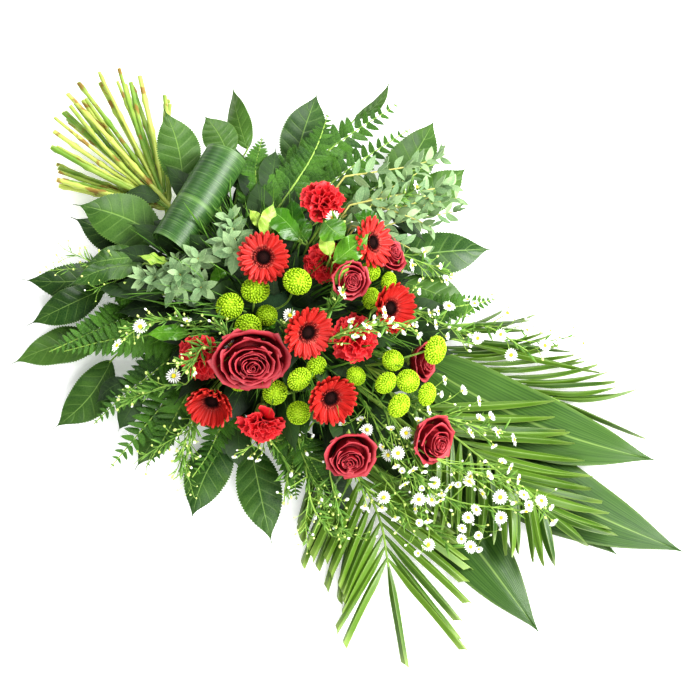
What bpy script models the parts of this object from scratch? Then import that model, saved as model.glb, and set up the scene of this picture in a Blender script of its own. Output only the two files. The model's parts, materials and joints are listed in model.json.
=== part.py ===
# A casket spray: blooms, leaves and fronds pushed into a block of wet foam in a low tray,
# with a bunch of cut stems at one end that makes it look like one long hand-tied sheaf.
# It lies along X, from the cut stems at -X to the leaf tips at +X. Z is up, and the origin
# is the middle of the tray's underside. Places in the lists below are in millimetres.

import math
import random

import bmesh
import bpy
from mathutils import Matrix, Vector

MM = 0.001
SEED = 11
GOLDEN_ANGLE = math.radians(137.5)
# Neighbouring faces that turn by less than this are merged after a join.
FLAT_ANGLE = math.radians(0.1)

# Driving dimensions, in millimetres.
FOAM_LENGTH = 230
FOAM_WIDTH = 110
FOAM_HEIGHT = 80
TRAY_FLOOR = 3
TRAY_WALL = 3
TRAY_HEIGHT = 16
TRAY_CORNER = 2.5
GAP = 0.3
WELD = 0.005
SLIVER = 0.004
STEM_DEPTH = 25
DRILL_OVERRUN = 14

LEAF_SHEET = 0.8
PETAL_SHEET = 0.7
GERBERA_RADIUS = 31
GERBERA_DISC = 8.6
GERBERA_STEM = 2.2
ROSE_STEM = 2.6
CARNATION_STEM = 1.9
SANTINI_STEM = 1.3
ASTER_RADIUS = 8
ASTER_STEM = 1.0
TWIG = 1.6
LEAF_STALK = 1.2
PALM_RIB = 2.0
PALM_LEAFLET = 5.2
FERN_RIB = 1.5
FERN_PAIRS = 7
EUCALYPTUS_STEM = 1.4
EUCALYPTUS_PAIRS = 4
LEAF_ROWS = 5
ASPIDISTRA_ROWS = 7

FOAM_TOP = TRAY_FLOOR + GAP + FOAM_HEIGHT

# Blooms: the middle of the face, the way it faces and where its stem enters the foam.
GERBERAS = [
    dict(place=(-33, 18, 145), facing=(0.29, -0.14, 0.95), entry=(-38, 20, FOAM_TOP), cup=5),
    dict(place=(64, -27, 158), facing=(0.68, -0.15, 0.72), entry=(46, -14, FOAM_TOP), cup=9),
    dict(place=(127, -68, 134), facing=(0.63, -0.26, 0.73), entry=(110, -50, FOAM_TOP), cup=8),
    dict(place=(12, -138, 88), facing=(0.34, -0.78, 0.53), entry=(6, -55, 64), cup=14),
    dict(place=(118, 55, 142), facing=(0.66, 0.16, 0.74), entry=(92, 44, FOAM_TOP), cup=10),
    dict(place=(53, 108, 140), facing=(0.68, 0.35, 0.65), entry=(32, 55, 72), cup=7),
]
ROSES = [
    dict(place=(36, -92, 150), facing=(0.52, -0.44, 0.72), entry=(24, -44, FOAM_TOP), size=42, petals=8),
    dict(place=(185, -102, 98), facing=(0.6, -0.5, 0.65), entry=(115, -42, 68), size=33, petals=7),
    dict(place=(250, -26, 98), facing=(0.75, 0, 0.6), entry=(115, -20, 66), size=31, petals=7),
    dict(place=(69, 54, 156), facing=(0.58, -0.06, 0.8), entry=(50, 38, FOAM_TOP), size=24, petals=6),
    dict(place=(187, 45, 95), facing=(0.85, 0.3, 0.45), entry=(115, 20, 73), size=24, petals=5),
    dict(place=(78, 124, 120), facing=(0.5, 0.5, 0.75), entry=(24, 55, 66), size=24, petals=5),
]
CARNATIONS = [
    dict(place=(-29, 127, 118), facing=(0, 0.2, 1), entry=(-28, 55, 68), size=30),
    dict(place=(22, 63, 124), facing=(0.15, -0.2, 1), entry=(9, 55, 66), size=27),
    dict(place=(76, -130, 82), facing=(0.58, -0.78, 0.22), entry=(52, -55, 66), size=31),
    dict(place=(-26, -113, 108), facing=(0, -0.65, 0.75), entry=(-24, -55, 68), size=30),
    dict(place=(106, 8, 126), facing=(0.3, -0.2, 0.9), entry=(88, 12, FOAM_TOP), size=30),
]
# Green button heads, in sprays that fork above the foam.
SANTINI = [
    dict(
        entry=(-14, -32, FOAM_TOP), fork=(-13, -31, 97),
        heads=[
            dict(place=(-21, -13, 125), size=17), dict(place=(-34, -45, 119), size=17),
            dict(place=(4, -25, 108), size=13), dict(place=(0, -54, 124), size=16),
            dict(place=(18, 16, 152), size=17, knee=(11, -2, 104)),
        ],
    ),
    dict(
        entry=(76, -55, 70), fork=(80, -76, 84),
        heads=[
            dict(place=(26, -104, 98), size=13), dict(place=(68, -93, 105), size=15),
            dict(place=(104, -96, 104), size=14),
            dict(place=(84, -68, 122), size=15, facing=(0.83, -0.27, 0.49)),
            dict(place=(88, -42, 110), size=14, facing=(0.84, -0.13, 0.52)),
            dict(place=(130, -22, 106), size=12),
        ],
    ),
    dict(
        entry=(74, 45, FOAM_TOP), fork=(78, 62, 98),
        heads=[
            dict(place=(70, 84, 124), size=13),
            dict(place=(93, 90, 116), size=12, facing=(0.85, 0.13, 0.52)),
            dict(place=(90, 60, 120), size=13, facing=(0.85, 0.13, 0.52)),
        ],
    ),
    dict(
        entry=(106, -10, FOAM_TOP), fork=(132, -2, 98),
        heads=[
            dict(place=(156, 13, 124), size=13),
            dict(place=(188, 50, 130), size=17, facing=(0.85, 0.13, 0.52)),
            dict(place=(184, 4, 122), size=14),
            dict(place=(166, -14, 126), size=14, facing=(0.83, -0.27, 0.49)),
            dict(place=(192, -24, 116), size=15, facing=(0.84, -0.13, 0.52)),
            dict(place=(208, 8, 108), size=14, facing=(0.85, 0.13, 0.52)),
        ],
    ),
]
# Broad toothed leaves, in twigs that fork at a knee outside the foam.
LEAF_TWIGS = [
    dict(entry=(-115, -20, 46), knee=(-158, -18, 52), leaves=[
        dict(base=(-168, -8, 62), tip=(-280, -40, 66), half=32, arch=10),
        dict(base=(-170, -30, 46), tip=(-284, -46, 34), half=24, arch=8),
    ]),
    dict(entry=(-115, -42, 28), knee=(-165, -68, 30), leaves=[
        dict(base=(-186, -56, 26), tip=(-290, -140, 10), half=26, arch=8),
        dict(base=(-192, -94, 34), tip=(-242, -182, 16), half=23, arch=8),
        dict(base=(-176, -50, 44), tip=(-226, -124, 48), half=20, arch=6, roll=35),
    ]),
    dict(entry=(-84, -55, 28), knee=(-124, -112, 28), leaves=[
        dict(base=(-154, -140, 22), tip=(-230, -232, 7), half=24, arch=5),
        dict(base=(-130, -158, 26), tip=(-138, -264, 6), half=26, arch=8),
    ]),
    dict(entry=(-30, -55, 26), knee=(-30, -120, 26), leaves=[
        dict(base=(-34, -150, 24), tip=(-28, -244, 6), half=22, arch=8),
    ]),
    dict(entry=(56, -55, 28), knee=(54, -120, 28), leaves=[
        dict(base=(40, -150, 26), tip=(64, -254, 6), half=27, arch=8),
        dict(base=(66, -142, 26), tip=(158, -220, 6), half=27, arch=8),
    ]),
    dict(entry=(-115, 46, 56), knee=(-146, 70, 56), leaves=[
        dict(base=(-186, 56, 72), tip=(-272, 124, 72), half=24, arch=6),
        dict(base=(-168, 122, 62), tip=(-232, 150, 58), half=22, arch=6),
        dict(base=(-160, 146, 58), tip=(-228, 204, 60), half=17, arch=4, twist=70),
    ]),
    dict(entry=(-58, 55, 34), knee=(-84, 126, 38), leaves=[
        dict(base=(-104, 160, 42), tip=(-146, 270, 36), half=28, arch=8),
        dict(base=(-84, 262, 44), tip=(-80, 330, 50), half=9, arch=4, twist=50),
    ]),
    dict(entry=(12, 55, 30), knee=(14, 150, 34), leaves=[
        dict(base=(2, 200, 36), tip=(-12, 334, 22), half=29, arch=10),
        dict(base=(32, 200, 28), tip=(58, 308, 12), half=26, arch=8),
    ]),
    dict(entry=(72, 55, 36), knee=(70, 120, 38), leaves=[
        dict(base=(60, 140, 42), tip=(150, 236, 16), half=30, arch=10),
        dict(base=(84, 128, 30), tip=(182, 154, 12), half=24, arch=6),
    ]),
]
# Long smooth aspidistra leaves under the palms.
ASPIDISTRAS = [
    dict(entry=(115, 14, 26), base=(172, 22, 30), tip=(543, 60, 10), half=45, arch=6),
    dict(entry=(115, 38, 34), base=(160, 56, 38), tip=(441, 132, 26), half=40, arch=4),
    dict(entry=(115, -36, 26), base=(165, -34, 22), tip=(446, -110, 6), half=38, arch=2),
    dict(entry=(115, -10, 22), base=(175, -2, 16), tip=(484, 12, 6), half=34, arch=2),
]
# Palm fronds, with trimmed leaflets: angle and length at the knee and at the far end.
PALMS = [
    dict(entry=(115, -47, 42), spine=[(150, -78, 42), (235, -120, 30), (281, -161, 20)], pairs=7,
         left=dict(angles=(28, 30), lengths=(150, 145)), right=dict(angles=(62, 34), lengths=(95, 84)),
         end=117, drop=(20, 12)),
    dict(entry=(115, 0, 46), spine=[(190, 2, 56), (245, 2, 54), (392, -4, 42)], pairs=9,
         left=dict(angles=(47, 32), lengths=(150, 75)), right=dict(angles=(57, 40), lengths=(140, 75)),
         end=62, drop=(14, 8)),
    dict(entry=(98, 55, 30), spine=[(132, 76, 28), (168, 86, 24), (323, 123, 14)], pairs=7,
         left=dict(angles=(36, 28), lengths=(150, 105)), right=dict(angles=(24, 24), lengths=(110, 100)),
         end=112, drop=(8, 6)),
]
FERNS = [
    dict(entry=(-78, 55, 62), spine=[(-98, 110, 62), (-76, 210, 66), (-49, 306, 60)], width=44),
    dict(entry=(-98, -55, 46), spine=[(-122, -78, 50), (-156, -136, 50), (-192, -196, 38)], width=38),
    dict(entry=(-48, -55, 46), spine=[(-42, -88, 48), (-42, -170, 44), (-48, -262, 24)], width=40),
]
EUCALYPTUS = [
    dict(entry=(-86, -28, FOAM_TOP), spine=[(-92, -38, 102), (-116, -54, 100), (-142, -70, 92)]),
    dict(entry=(-76, 16, FOAM_TOP), spine=[(-78, 18, 100), (-82, 26, 116), (-100, 40, 122)]),
    dict(entry=(2, 55, 76), spine=[(4, 84, 80), (36, 170, 82), (84, 240, 72)]),
]
# Sprays of small white asters: the main stem, then flowers by rule along it.
ASTERS = [
    dict(entry=(115, -12, 58), spine=[(190, -62, 62), (290, -66, 64), (372, -24, 60)], flowers=5),
    dict(entry=(115, -34, 54), spine=[(170, -74, 52), (262, -98, 54), (330, -106, 50)], flowers=5),
    dict(entry=(92, -55, 46), spine=[(120, -110, 56), (170, -160, 52), (212, -176, 46)], flowers=5),
    dict(entry=(115, 32, 58), spine=[(150, 84, 62), (200, 130, 60), (262, 138, 54)], flowers=5),
    dict(entry=(-115, -32, 62), spine=[(-150, -58, 72), (-186, -84, 70), (-212, -86, 66)], flowers=4),
    dict(entry=(-4, -55, 42), spine=[(0, -108, 50), (6, -170, 44), (26, -216, 36)], flowers=4),
]
BRIGHT_LEAVES = dict(entry=(-6, 44, FOAM_TOP), knee=(-10, 71, 112), leaves=[
    dict(base=(-14, 74, 114), tip=(-54, 90, 104), half=17, arch=5),
    dict(base=(-30, 66, 118), tip=(-78, 66, 112), half=12, arch=4, roll=-30),
    dict(base=(0, 92, 158), tip=(38, 84, 172), half=17, arch=4),
])
# The bunch of cut stems: where it is tied, and the far corners of its fan of cut ends.
BUNCH = dict(
    neck=(-186, 30, 44), stems=22, tie=7.2, length=192, angles=(200, 136), heights=(10, 52), radius=2.0,
)
BUNCH_ENTRIES = [(-115, 12, 34), (-115, 24, 44), (-115, 12, 54), (-115, 32, 32)]
ROLL = dict(ends=[(-163, 113, 92), (-143, -20, 92)], radius=26, pitch=2.6, turn=440, pin=(-115, -4, 74))

COLOURS = {
    "tray": ((0.02, 0.10, 0.05), 0.5),
    "foam": ((0.05, 0.16, 0.07), 0.95),
    "stem": ((0.36, 0.42, 0.12), 0.6),
    "leaf": ((0.03, 0.13, 0.03), 0.4),
    "broad leaf": ((0.04, 0.18, 0.04), 0.4),
    "palm": ((0.09, 0.27, 0.04), 0.45),
    "fern": ((0.04, 0.17, 0.04), 0.55),
    "eucalyptus": ((0.18, 0.31, 0.20), 0.7),
    "bright leaf": ((0.13, 0.36, 0.05), 0.35),
    "gerbera": ((0.62, 0.02, 0.015), 0.5),
    "gerbera disc": ((0.03, 0.006, 0.006), 0.9),
    "rose": ((0.24, 0.002, 0.012), 0.55),
    "carnation": ((0.45, 0.004, 0.015), 0.7),
    "santini": ((0.34, 0.52, 0.03), 0.8),
    "aster": ((0.80, 0.82, 0.70), 0.6),
}

UP = Vector((0, 0, 1))
holes = []


def point(place):
    return Vector(place) * MM


def clearScene():
    for item in list(bpy.data.objects):
        bpy.data.objects.remove(item)


def newCollection(name):
    collection = bpy.data.collections.new(name)
    bpy.context.scene.collection.children.link(collection)
    return collection


def makeMaterial(name):
    colour, roughness = COLOURS[name]
    material = bpy.data.materials.new(name)
    material.use_nodes = True
    shader = material.node_tree.nodes["Principled BSDF"]
    shader.inputs["Base Color"].default_value = (*colour, 1)
    shader.inputs["Roughness"].default_value = roughness
    shader.inputs["Metallic"].default_value = 0
    material.diffuse_color = (*colour, 1)
    return material


# A piece is a mesh object on the workbench, still to be joined into its node.
def pieceFrom(mesh):
    piece = bpy.data.objects.new("piece", mesh)
    workbench.objects.link(piece)
    return piece


def pieceFromBmesh(shape):
    mesh = bpy.data.meshes.new("piece")
    shape.to_mesh(mesh)
    shape.free()
    return pieceFrom(mesh)


# The object as its modifiers or its bevel leave it, as a welded mesh in an object of its own.
def applied(source):
    bpy.context.view_layer.update()
    graph = bpy.context.evaluated_depsgraph_get()
    mesh = bpy.data.meshes.new_from_object(source.evaluated_get(graph))
    shape = bmesh.new()
    shape.from_mesh(mesh)
    bmesh.ops.remove_doubles(shape, verts=shape.verts, dist=WELD * MM)
    shape.to_mesh(mesh)
    shape.free()
    piece = pieceFrom(mesh)
    piece.matrix_world = source.matrix_world.copy()
    bpy.data.objects.remove(source)
    return piece


# A four-sided stem through points in metres, with an optional thinner end.
def tube(points, radius, taper=1.0):
    curve = bpy.data.curves.new("stem", "CURVE")
    curve.dimensions = "3D"
    curve.bevel_depth = radius * MM
    curve.bevel_resolution = 0
    curve.use_fill_caps = True
    spline = curve.splines.new("POLY")
    spline.points.add(len(points) - 1)
    for index, place in enumerate(points):
        spline.points[index].co = (*place, 1)
        spline.points[index].radius = 1 + (taper - 1) * index / (len(points) - 1)
    holder = bpy.data.objects.new("stem", curve)
    workbench.objects.link(holder)
    return applied(holder)


# A thin blade: a grid whose points are placed by surface(u, t), u from -1 to 1 across and
# t from 0 to 1 along, split into triangles and thickened evenly to both sides.
def blade(surface, columns, rows, thickness):
    shape = bmesh.new()
    bmesh.ops.create_grid(shape, x_segments=columns, y_segments=rows, size=1)
    for vertex in shape.verts:
        vertex.co = surface(vertex.co.x, (vertex.co.y + 1) / 2)
    return thickened(shape, thickness)


def thickened(shape, thickness):
    bmesh.ops.remove_doubles(shape, verts=shape.verts, dist=WELD * MM)
    bmesh.ops.triangulate(shape, faces=shape.faces)
    sheet = pieceFromBmesh(shape)
    solidify = sheet.modifiers.new("thickness", "SOLIDIFY")
    solidify.thickness = thickness * MM
    solidify.offset = 0
    return applied(sheet)


# Islands of faces in a mesh, each with its signed volume.
def islandsOf(shape):
    islands = []
    unseen = set(shape.faces)
    while unseen:
        front = [unseen.pop()]
        island = []
        while front:
            face = front.pop()
            island.append(face)
            for edge in face.edges:
                for other in edge.link_faces:
                    if other in unseen:
                        unseen.discard(other)
                        front.append(other)
        volume = sum(
            face.verts[0].co.dot(face.verts[k].co.cross(face.verts[k + 1].co)) / 6
            for face in island
            for k in range(1, len(face.verts) - 1)
        )
        islands.append((volume, island))
    return sorted(islands, key=lambda entry: entry[0], reverse=True)


# One body from many pieces: a Boolean union on a collection, applied. The largest island
# stays, and sealed hollows or scraps that the union leaves are dropped.
def joined(name, pieces, look, seat):
    first = pieces[0]
    if len(pieces) > 1:
        group = newCollection("to join")
        for piece in pieces[1:]:
            workbench.objects.unlink(piece)
            group.objects.link(piece)
        union = first.modifiers.new("join", "BOOLEAN")
        union.operation = "UNION"
        union.operand_type = "COLLECTION"
        union.collection = group
        union.solver = "MANIFOLD"
        body = applied(first)
        for piece in pieces[1:]:
            bpy.data.objects.remove(piece)
        bpy.data.collections.remove(group)
    else:
        body = first
    mesh = body.data
    mesh.transform(seat.inverted() @ body.matrix_world)
    shape = bmesh.new()
    shape.from_mesh(mesh)
    bmesh.ops.dissolve_degenerate(shape, edges=shape.edges, dist=SLIVER * MM)
    bmesh.ops.dissolve_limit(shape, angle_limit=FLAT_ANGLE, verts=shape.verts, edges=shape.edges)
    bmesh.ops.triangulate(shape, faces=shape.faces)
    islands = islandsOf(shape)
    for volume, island in islands[1:]:
        print(f"dropped a scrap of {volume / MM**3:.2f} cubic mm from {name}")
        bmesh.ops.delete(shape, geom=island, context="FACES")
    shape.to_mesh(mesh)
    shape.free()
    bpy.data.objects.remove(body)
    return finish(name, mesh, look, seat)


def finish(name, mesh, look, seat):
    node = bpy.data.objects.new(name, mesh)
    mesh.name = name
    mesh.materials.clear()
    mesh.materials.append(makeMaterial(look))
    spray.objects.link(node)
    node.parent = root
    node.matrix_world = seat
    return node


# The end of a stem in the foam, straight on from the point outside it, and its plain hole.
def planted(outside, entry, radius):
    inward = (entry - outside).normalized()
    holes.append(dict(entry=entry, inward=inward, radius=radius))
    return entry + inward * STEM_DEPTH * MM


def facingSeat(place, facing, spin=0):
    return axisSeat(point(place), Vector(facing)) @ Matrix.Rotation(math.radians(spin), 4, "Z")


def seatAt(place):
    return Matrix.Translation(place)


# A seat whose Z runs along a direction in the world.
def axisSeat(place, direction):
    return Matrix.Translation(place) @ direction.to_track_quat("Z", "Y").to_matrix().to_4x4()


# A point at an angle round Z, all in millimetres.
def aroundAxis(angle, radius, height):
    return Vector((radius * math.cos(angle), radius * math.sin(angle), height)) * MM


# Local points of a bloom, in millimetres, given in the world.
def outOf(seat, x, y, z):
    return seat @ (Vector((x, y, z)) * MM)


def bloomStem(seat, spec, start, neck, radius):
    neckPoint = outOf(seat, 0, 0, -neck)
    entry = point(spec["entry"])
    end = planted(neckPoint, entry, radius)
    return tube([outOf(seat, 0, 0, -start), neckPoint, end], radius)


def solidCone(seat, low, high, lowRadius, highRadius, sides):
    shape = bmesh.new()
    bmesh.ops.create_cone(
        shape, cap_ends=True, segments=sides, radius1=lowRadius * MM, radius2=highRadius * MM,
        depth=(high - low) * MM,
    )
    bmesh.ops.translate(shape, verts=shape.verts, vec=(0, 0, (high + low) / 2 * MM))
    piece = pieceFromBmesh(shape)
    piece.matrix_world = seat
    return piece


# A thin flat hub with petals cut round it. Each petal is a fan of points: a turn from the
# petal's middle as a share of its step, a radius and a height.
def petalRing(seat, petals, hub, height, fan):
    shape = bmesh.new()
    bmesh.ops.create_circle(shape, cap_ends=True, segments=petals, radius=hub * MM)
    bmesh.ops.translate(shape, verts=shape.verts, vec=(0, 0, height * MM))
    step = math.tau / petals
    for edge in list(shape.edges):
        middle = (edge.verts[0].co + edge.verts[1].co) / 2
        heading = math.atan2(middle.y, middle.x)
        first, last = edge.verts
        if (first.co - middle).cross(middle).z < 0:
            first, last = last, first
        outline = [first]
        for turn, radius, lift in fan(round(heading / step)):
            outline.append(shape.verts.new(aroundAxis(heading + turn * step, radius, lift)))
        shape.faces.new([last] + outline[::-1][:-1] + [first])
    bmesh.ops.recalc_face_normals(shape, faces=shape.faces)
    piece = thickened(shape, PETAL_SHEET)
    piece.matrix_world = seat
    return piece


def gerbera(number, spec):
    seat = facingSeat(spec["place"], spec["facing"], spin=17 * number)
    rise = spec["cup"]

    def outerFan(index):
        lift = 1.2 if index % 2 else -1.2
        shoulder = 0.8 * GERBERA_RADIUS
        return [
            (-0.42, shoulder, 0.8 * rise + lift),
            (0, GERBERA_RADIUS, rise + lift),
            (0.42, shoulder, 0.8 * rise + lift),
        ]

    def innerFan(index):
        return [(0, 16.5, 5.2)]

    head = [
        solidCone(seat, low=-9, high=1.8, lowRadius=2.8, highRadius=7.5, sides=6),
        petalRing(seat, petals=12, hub=11, height=0, fan=outerFan),
        petalRing(seat, petals=8, hub=11, height=1.8, fan=innerFan),
        bloomStem(seat, spec, start=6, neck=24, radius=GERBERA_STEM),
    ]
    joined(f"gerbera_{number}", head, "gerbera", seat)
    dome = 4.2
    underside = 0.4
    middle = Vector((0, 0, 3.0))
    disc = bmesh.new()
    bmesh.ops.create_uvsphere(disc, u_segments=8, v_segments=3, radius=1)
    for vertex in disc.verts:
        rise = dome if vertex.co.z > 0.1 else underside
        vertex.co = (vertex.co * Vector((GERBERA_DISC, GERBERA_DISC, rise)) + middle) * MM
    piece = pieceFromBmesh(disc)
    piece.matrix_world = seat
    joined(f"gerbera_disc_{number}", [piece], "gerbera disc", seat)


# Rose petals: cupped blades round the bud, each wider and more open than the last.
def rose(number, spec):
    seat = facingSeat(spec["place"], spec["facing"], spin=40 * number)
    size = spec["size"]
    depth = size * 0.95
    count = spec["petals"]
    petals = []
    for index in range(count):
        share = index / (count - 1)
        middle = index * GOLDEN_ANGLE
        reach = size * (0.24 + 0.62 * share)
        top = depth * (1.0 - 0.30 * share)
        spread = math.radians(60 - 8 * share)
        curl = size * 0.14 * share
        root = -depth - 5 * share

        def surface(u, t, middle=middle, reach=reach, top=top, spread=spread, curl=curl, root=root):
            angle = middle + u * spread * min(1, 1.8 * t)
            radius = 1.5 + (reach - 1.5) * math.sin(t * math.pi / 2) ** 0.8 + curl * t**4
            height = root + (top - depth - root) * t * (1 - 0.16 * u * u * t)
            return aroundAxis(angle, radius, height)

        petal = blade(surface, columns=2, rows=2, thickness=PETAL_SHEET)
        petal.matrix_world = seat
        petals.append(petal)
    hip = solidCone(seat, low=-depth - 8, high=-depth + 2, lowRadius=3.2, highRadius=5, sides=6)
    heart = solidCone(seat, low=-depth + 1, high=-size * 0.06, lowRadius=4, highRadius=size * 0.13, sides=5)
    stem = bloomStem(seat, spec, start=depth + 4, neck=depth + 14, radius=ROSE_STEM)
    joined(f"rose_{number}", [hip, heart, stem] + petals, "rose", seat)


# A carnation: fluted, toothed rings of petals, steeper towards the middle, on a slim core.
def carnation(number, spec):
    seat = facingSeat(spec["place"], spec["facing"], spin=25 * number)
    size = spec["size"]
    flute = 3.2
    layers = [
        dict(share=1.0, rim=-6, centre=-12),
        dict(share=0.85, rim=1, centre=-9.5),
        dict(share=0.6, rim=7, centre=-7),
    ]
    head = []
    for level, layer in enumerate(layers):
        def fan(level=level, layer=layer):
            points = []
            for k, turn in enumerate((-0.47, -0.22, 0.03, 0.28)):
                wave = flute if (k + level) % 2 else -flute
                notch = 0.8 if k == level else 1
                points.append((turn, size * layer["share"] * notch, layer["rim"] + wave))
            return points

        head.append(flutedRing(seat, petals=4, hub=5, height=layer["centre"], fan=fan))
    head.append(solidCone(seat, low=-16, high=-5.5, lowRadius=3.2, highRadius=3.6, sides=4))
    head.append(solidCone(seat, low=-30, high=-13.5, lowRadius=3.4, highRadius=5.8, sides=6))
    head.append(bloomStem(seat, spec, start=26, neck=40, radius=CARNATION_STEM))
    joined(f"carnation_{number}", head, "carnation", seat)


# A ring of petals that meet edge to edge round a small hub, so that the rim runs on unbroken.
def flutedRing(seat, petals, hub, height, fan):
    shape = bmesh.new()
    step = math.tau / petals
    inner = []
    rim = []
    for index in range(petals):
        heading = index * step
        inner.append(shape.verts.new(aroundAxis(heading - step / 2, hub, height)))
        rim.append([
            shape.verts.new(aroundAxis(heading + turn * step, radius, lift))
            for turn, radius, lift in fan()
        ])
    shape.faces.new(inner)
    for index in range(petals):
        following = (index + 1) % petals
        outline = [inner[index]] + rim[index] + [rim[following][0], inner[following]]
        shape.faces.new(outline)
    piece = thickened(shape, PETAL_SHEET)
    piece.matrix_world = seat
    return piece


# A button head: a flattened globe whose points stand out in turn, as blunt florets.
def button(place, facing, size):
    columns = 8
    levels = 4
    shape = bmesh.new()
    bmesh.ops.create_uvsphere(shape, u_segments=columns, v_segments=levels, radius=1)
    for vertex in shape.verts:
        level = round(math.acos(max(-1, min(1, vertex.co.z))) / math.pi * levels)
        column = round(math.atan2(vertex.co.y, vertex.co.x) / math.tau * columns)
        out = 1.0 if (level + column) % 2 else 0.84
        flat = 0.66 if vertex.co.z > 0 else 0.5
        vertex.co = vertex.co * Vector((1, 1, flat)) * size * out * MM
    bmesh.ops.triangulate(shape, faces=shape.faces)
    piece = pieceFromBmesh(shape)
    piece.matrix_world = facingSeat(place, facing)
    return piece


def santiniSpray(number, spec):
    fork = point(spec["fork"])
    entry = point(spec["entry"])
    stalk = SANTINI_STEM * 1.4
    pieces = [tube([planted(fork, entry, stalk), fork], stalk)]
    for head in spec["heads"]:
        centre = Vector(head["place"])
        lean = centre - Vector(spec["fork"])
        facing = Vector(head["facing"]) if "facing" in head else lean.normalized() * 0.45 + UP
        pieces.append(button(head["place"], facing, head["size"]))
        size = head["size"]
        below = outOf(facingSeat(head["place"], facing), 0.3 * size, 0.12 * size, -0.3 * size)
        route = [fork - (fork - entry).normalized() * 3 * MM, below]
        if "knee" in head:
            route.insert(1, point(head["knee"]))
        pieces.append(tube(route, SANTINI_STEM))
    joined(f"santini_spray_{number}", pieces, "santini", seatAt(entry))


def broadProfile(t):
    return max(0.0, math.sin(math.pi * t**0.85)) ** 0.8


def slimProfile(t):
    return max(0.0, math.sin(math.pi * t**0.75)) ** 0.65


# The surface of a leaf from its base to its tip, in metres.
def leafSurface(spec, profile, rows, tooth):
    base = point(spec["base"])
    tip = point(spec["tip"])
    forward = (tip - base).normalized()
    up = Matrix.Rotation(math.radians(spec.get("roll", 0)), 3, forward) @ UP
    side = forward.cross(up).normalized()
    up = side.cross(forward)
    arch = spec.get("arch", 0) * MM
    half = spec["half"] * MM
    twist = math.radians(spec.get("twist", 0))

    def surface(u, t):
        width = half * profile(t)
        if round(t * rows) % 2 and abs(u) > 0.9:
            width *= 1 - tooth
        across = side * math.cos(twist * t) + up * math.sin(twist * t)
        lift = arch * math.sin(math.pi * t) - 0.16 * width * abs(u)
        return base + (tip - base) * t + across * u * width + up * lift

    return surface


def leafTwig(name, spec, look):
    entry = point(spec["entry"])
    knee = point(spec["knee"])
    pieces = [tube([planted(knee, entry, TWIG), knee], TWIG)]
    start = knee + (entry - knee).normalized() * 3 * MM
    for leaf in spec["leaves"]:
        surface = leafSurface(leaf, broadProfile, LEAF_ROWS, tooth=0.12)
        pieces.append(blade(surface, columns=2, rows=LEAF_ROWS, thickness=LEAF_SHEET))
        pieces.append(tube([start, surface(0, 0.01)], LEAF_STALK))
    joined(name, pieces, look, seatAt(entry))


def aspidistra(number, spec):
    entry = point(spec["entry"])
    surface = leafSurface(spec, slimProfile, ASPIDISTRA_ROWS, tooth=0)
    base = surface(0, 0)
    pieces = [
        blade(surface, columns=2, rows=ASPIDISTRA_ROWS, thickness=LEAF_SHEET),
        tube([planted(base, entry, TWIG), surface(0, 0.003)], TWIG),
    ]
    joined(f"aspidistra_{number}", pieces, "leaf", seatAt(entry))


# Place and direction at a share of the way along a line through points.
def alongLine(points, share):
    lengths = [(b - a).length for a, b in zip(points, points[1:])]
    left = share * sum(lengths)
    for a, b, length in zip(points, points[1:], lengths):
        if left <= length or b is points[-1]:
            return a + (b - a) * left / length, (b - a).normalized()
        left -= length


# A leaflet that leaves the rib at an angle to it, in the frond's plane, and drops to its end.
def leaflet(start, forward, angle, length, half, drop, profile):
    flat = Vector((forward.x, forward.y, 0)).normalized()
    direction = Matrix.Rotation(math.radians(angle), 3, UP) @ flat
    end = start + direction * length * MM - UP * drop * MM
    spec = dict(base=start / MM, tip=end / MM, half=half, arch=drop * 0.25)
    return blade(leafSurface(spec, profile, 2, tooth=0), columns=1, rows=2, thickness=LEAF_SHEET)


def trimmedProfile(t):
    return (0, 1.0, 0.72)[round(t * 2)]


def palm(number, spec):
    entry = point(spec["entry"])
    spine = [point(place) for place in spec["spine"]]
    pieces = [tube([planted(spine[0], entry, PALM_RIB)] + spine, PALM_RIB, taper=0.6)]
    firstDrop, lastDrop = spec["drop"]
    for index in range(spec["pairs"]):
        share = (index + 0.6) / spec["pairs"] * 0.97
        start, forward = alongLine(spine, share)
        drop = firstDrop + (lastDrop - firstDrop) * share
        for side, sign in (("left", 1), ("right", -1)):
            first, last = spec[side]["angles"]
            angle = sign * (first + (last - first) * share)
            near, far = spec[side]["lengths"]
            length = near + (far - near) * share
            pieces.append(leaflet(start, forward, angle, length, PALM_LEAFLET, drop, trimmedProfile))
    start, forward = alongLine(spine, 0.985)
    pieces.append(leaflet(start, forward, 0, spec["end"], PALM_LEAFLET, lastDrop, trimmedProfile))
    joined(f"palm_{number}", pieces, "palm", seatAt(entry))


def fern(number, spec):
    entry = point(spec["entry"])
    spine = [point(place) for place in spec["spine"]]
    pieces = [tube([planted(spine[0], entry, FERN_RIB)] + spine, FERN_RIB, taper=0.5)]
    for index in range(FERN_PAIRS):
        share = (index + 0.3) / FERN_PAIRS
        start, forward = alongLine(spine, share)
        length = spec["width"] * (1 - share) ** 0.7 * 1.15
        half = length * 0.12 + 3
        for sign in (1, -1):
            pieces.append(leaflet(start, forward, sign * 62, length, half, 3, broadProfile))
    joined(f"fern_{number}", pieces, "fern", seatAt(entry))


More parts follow.
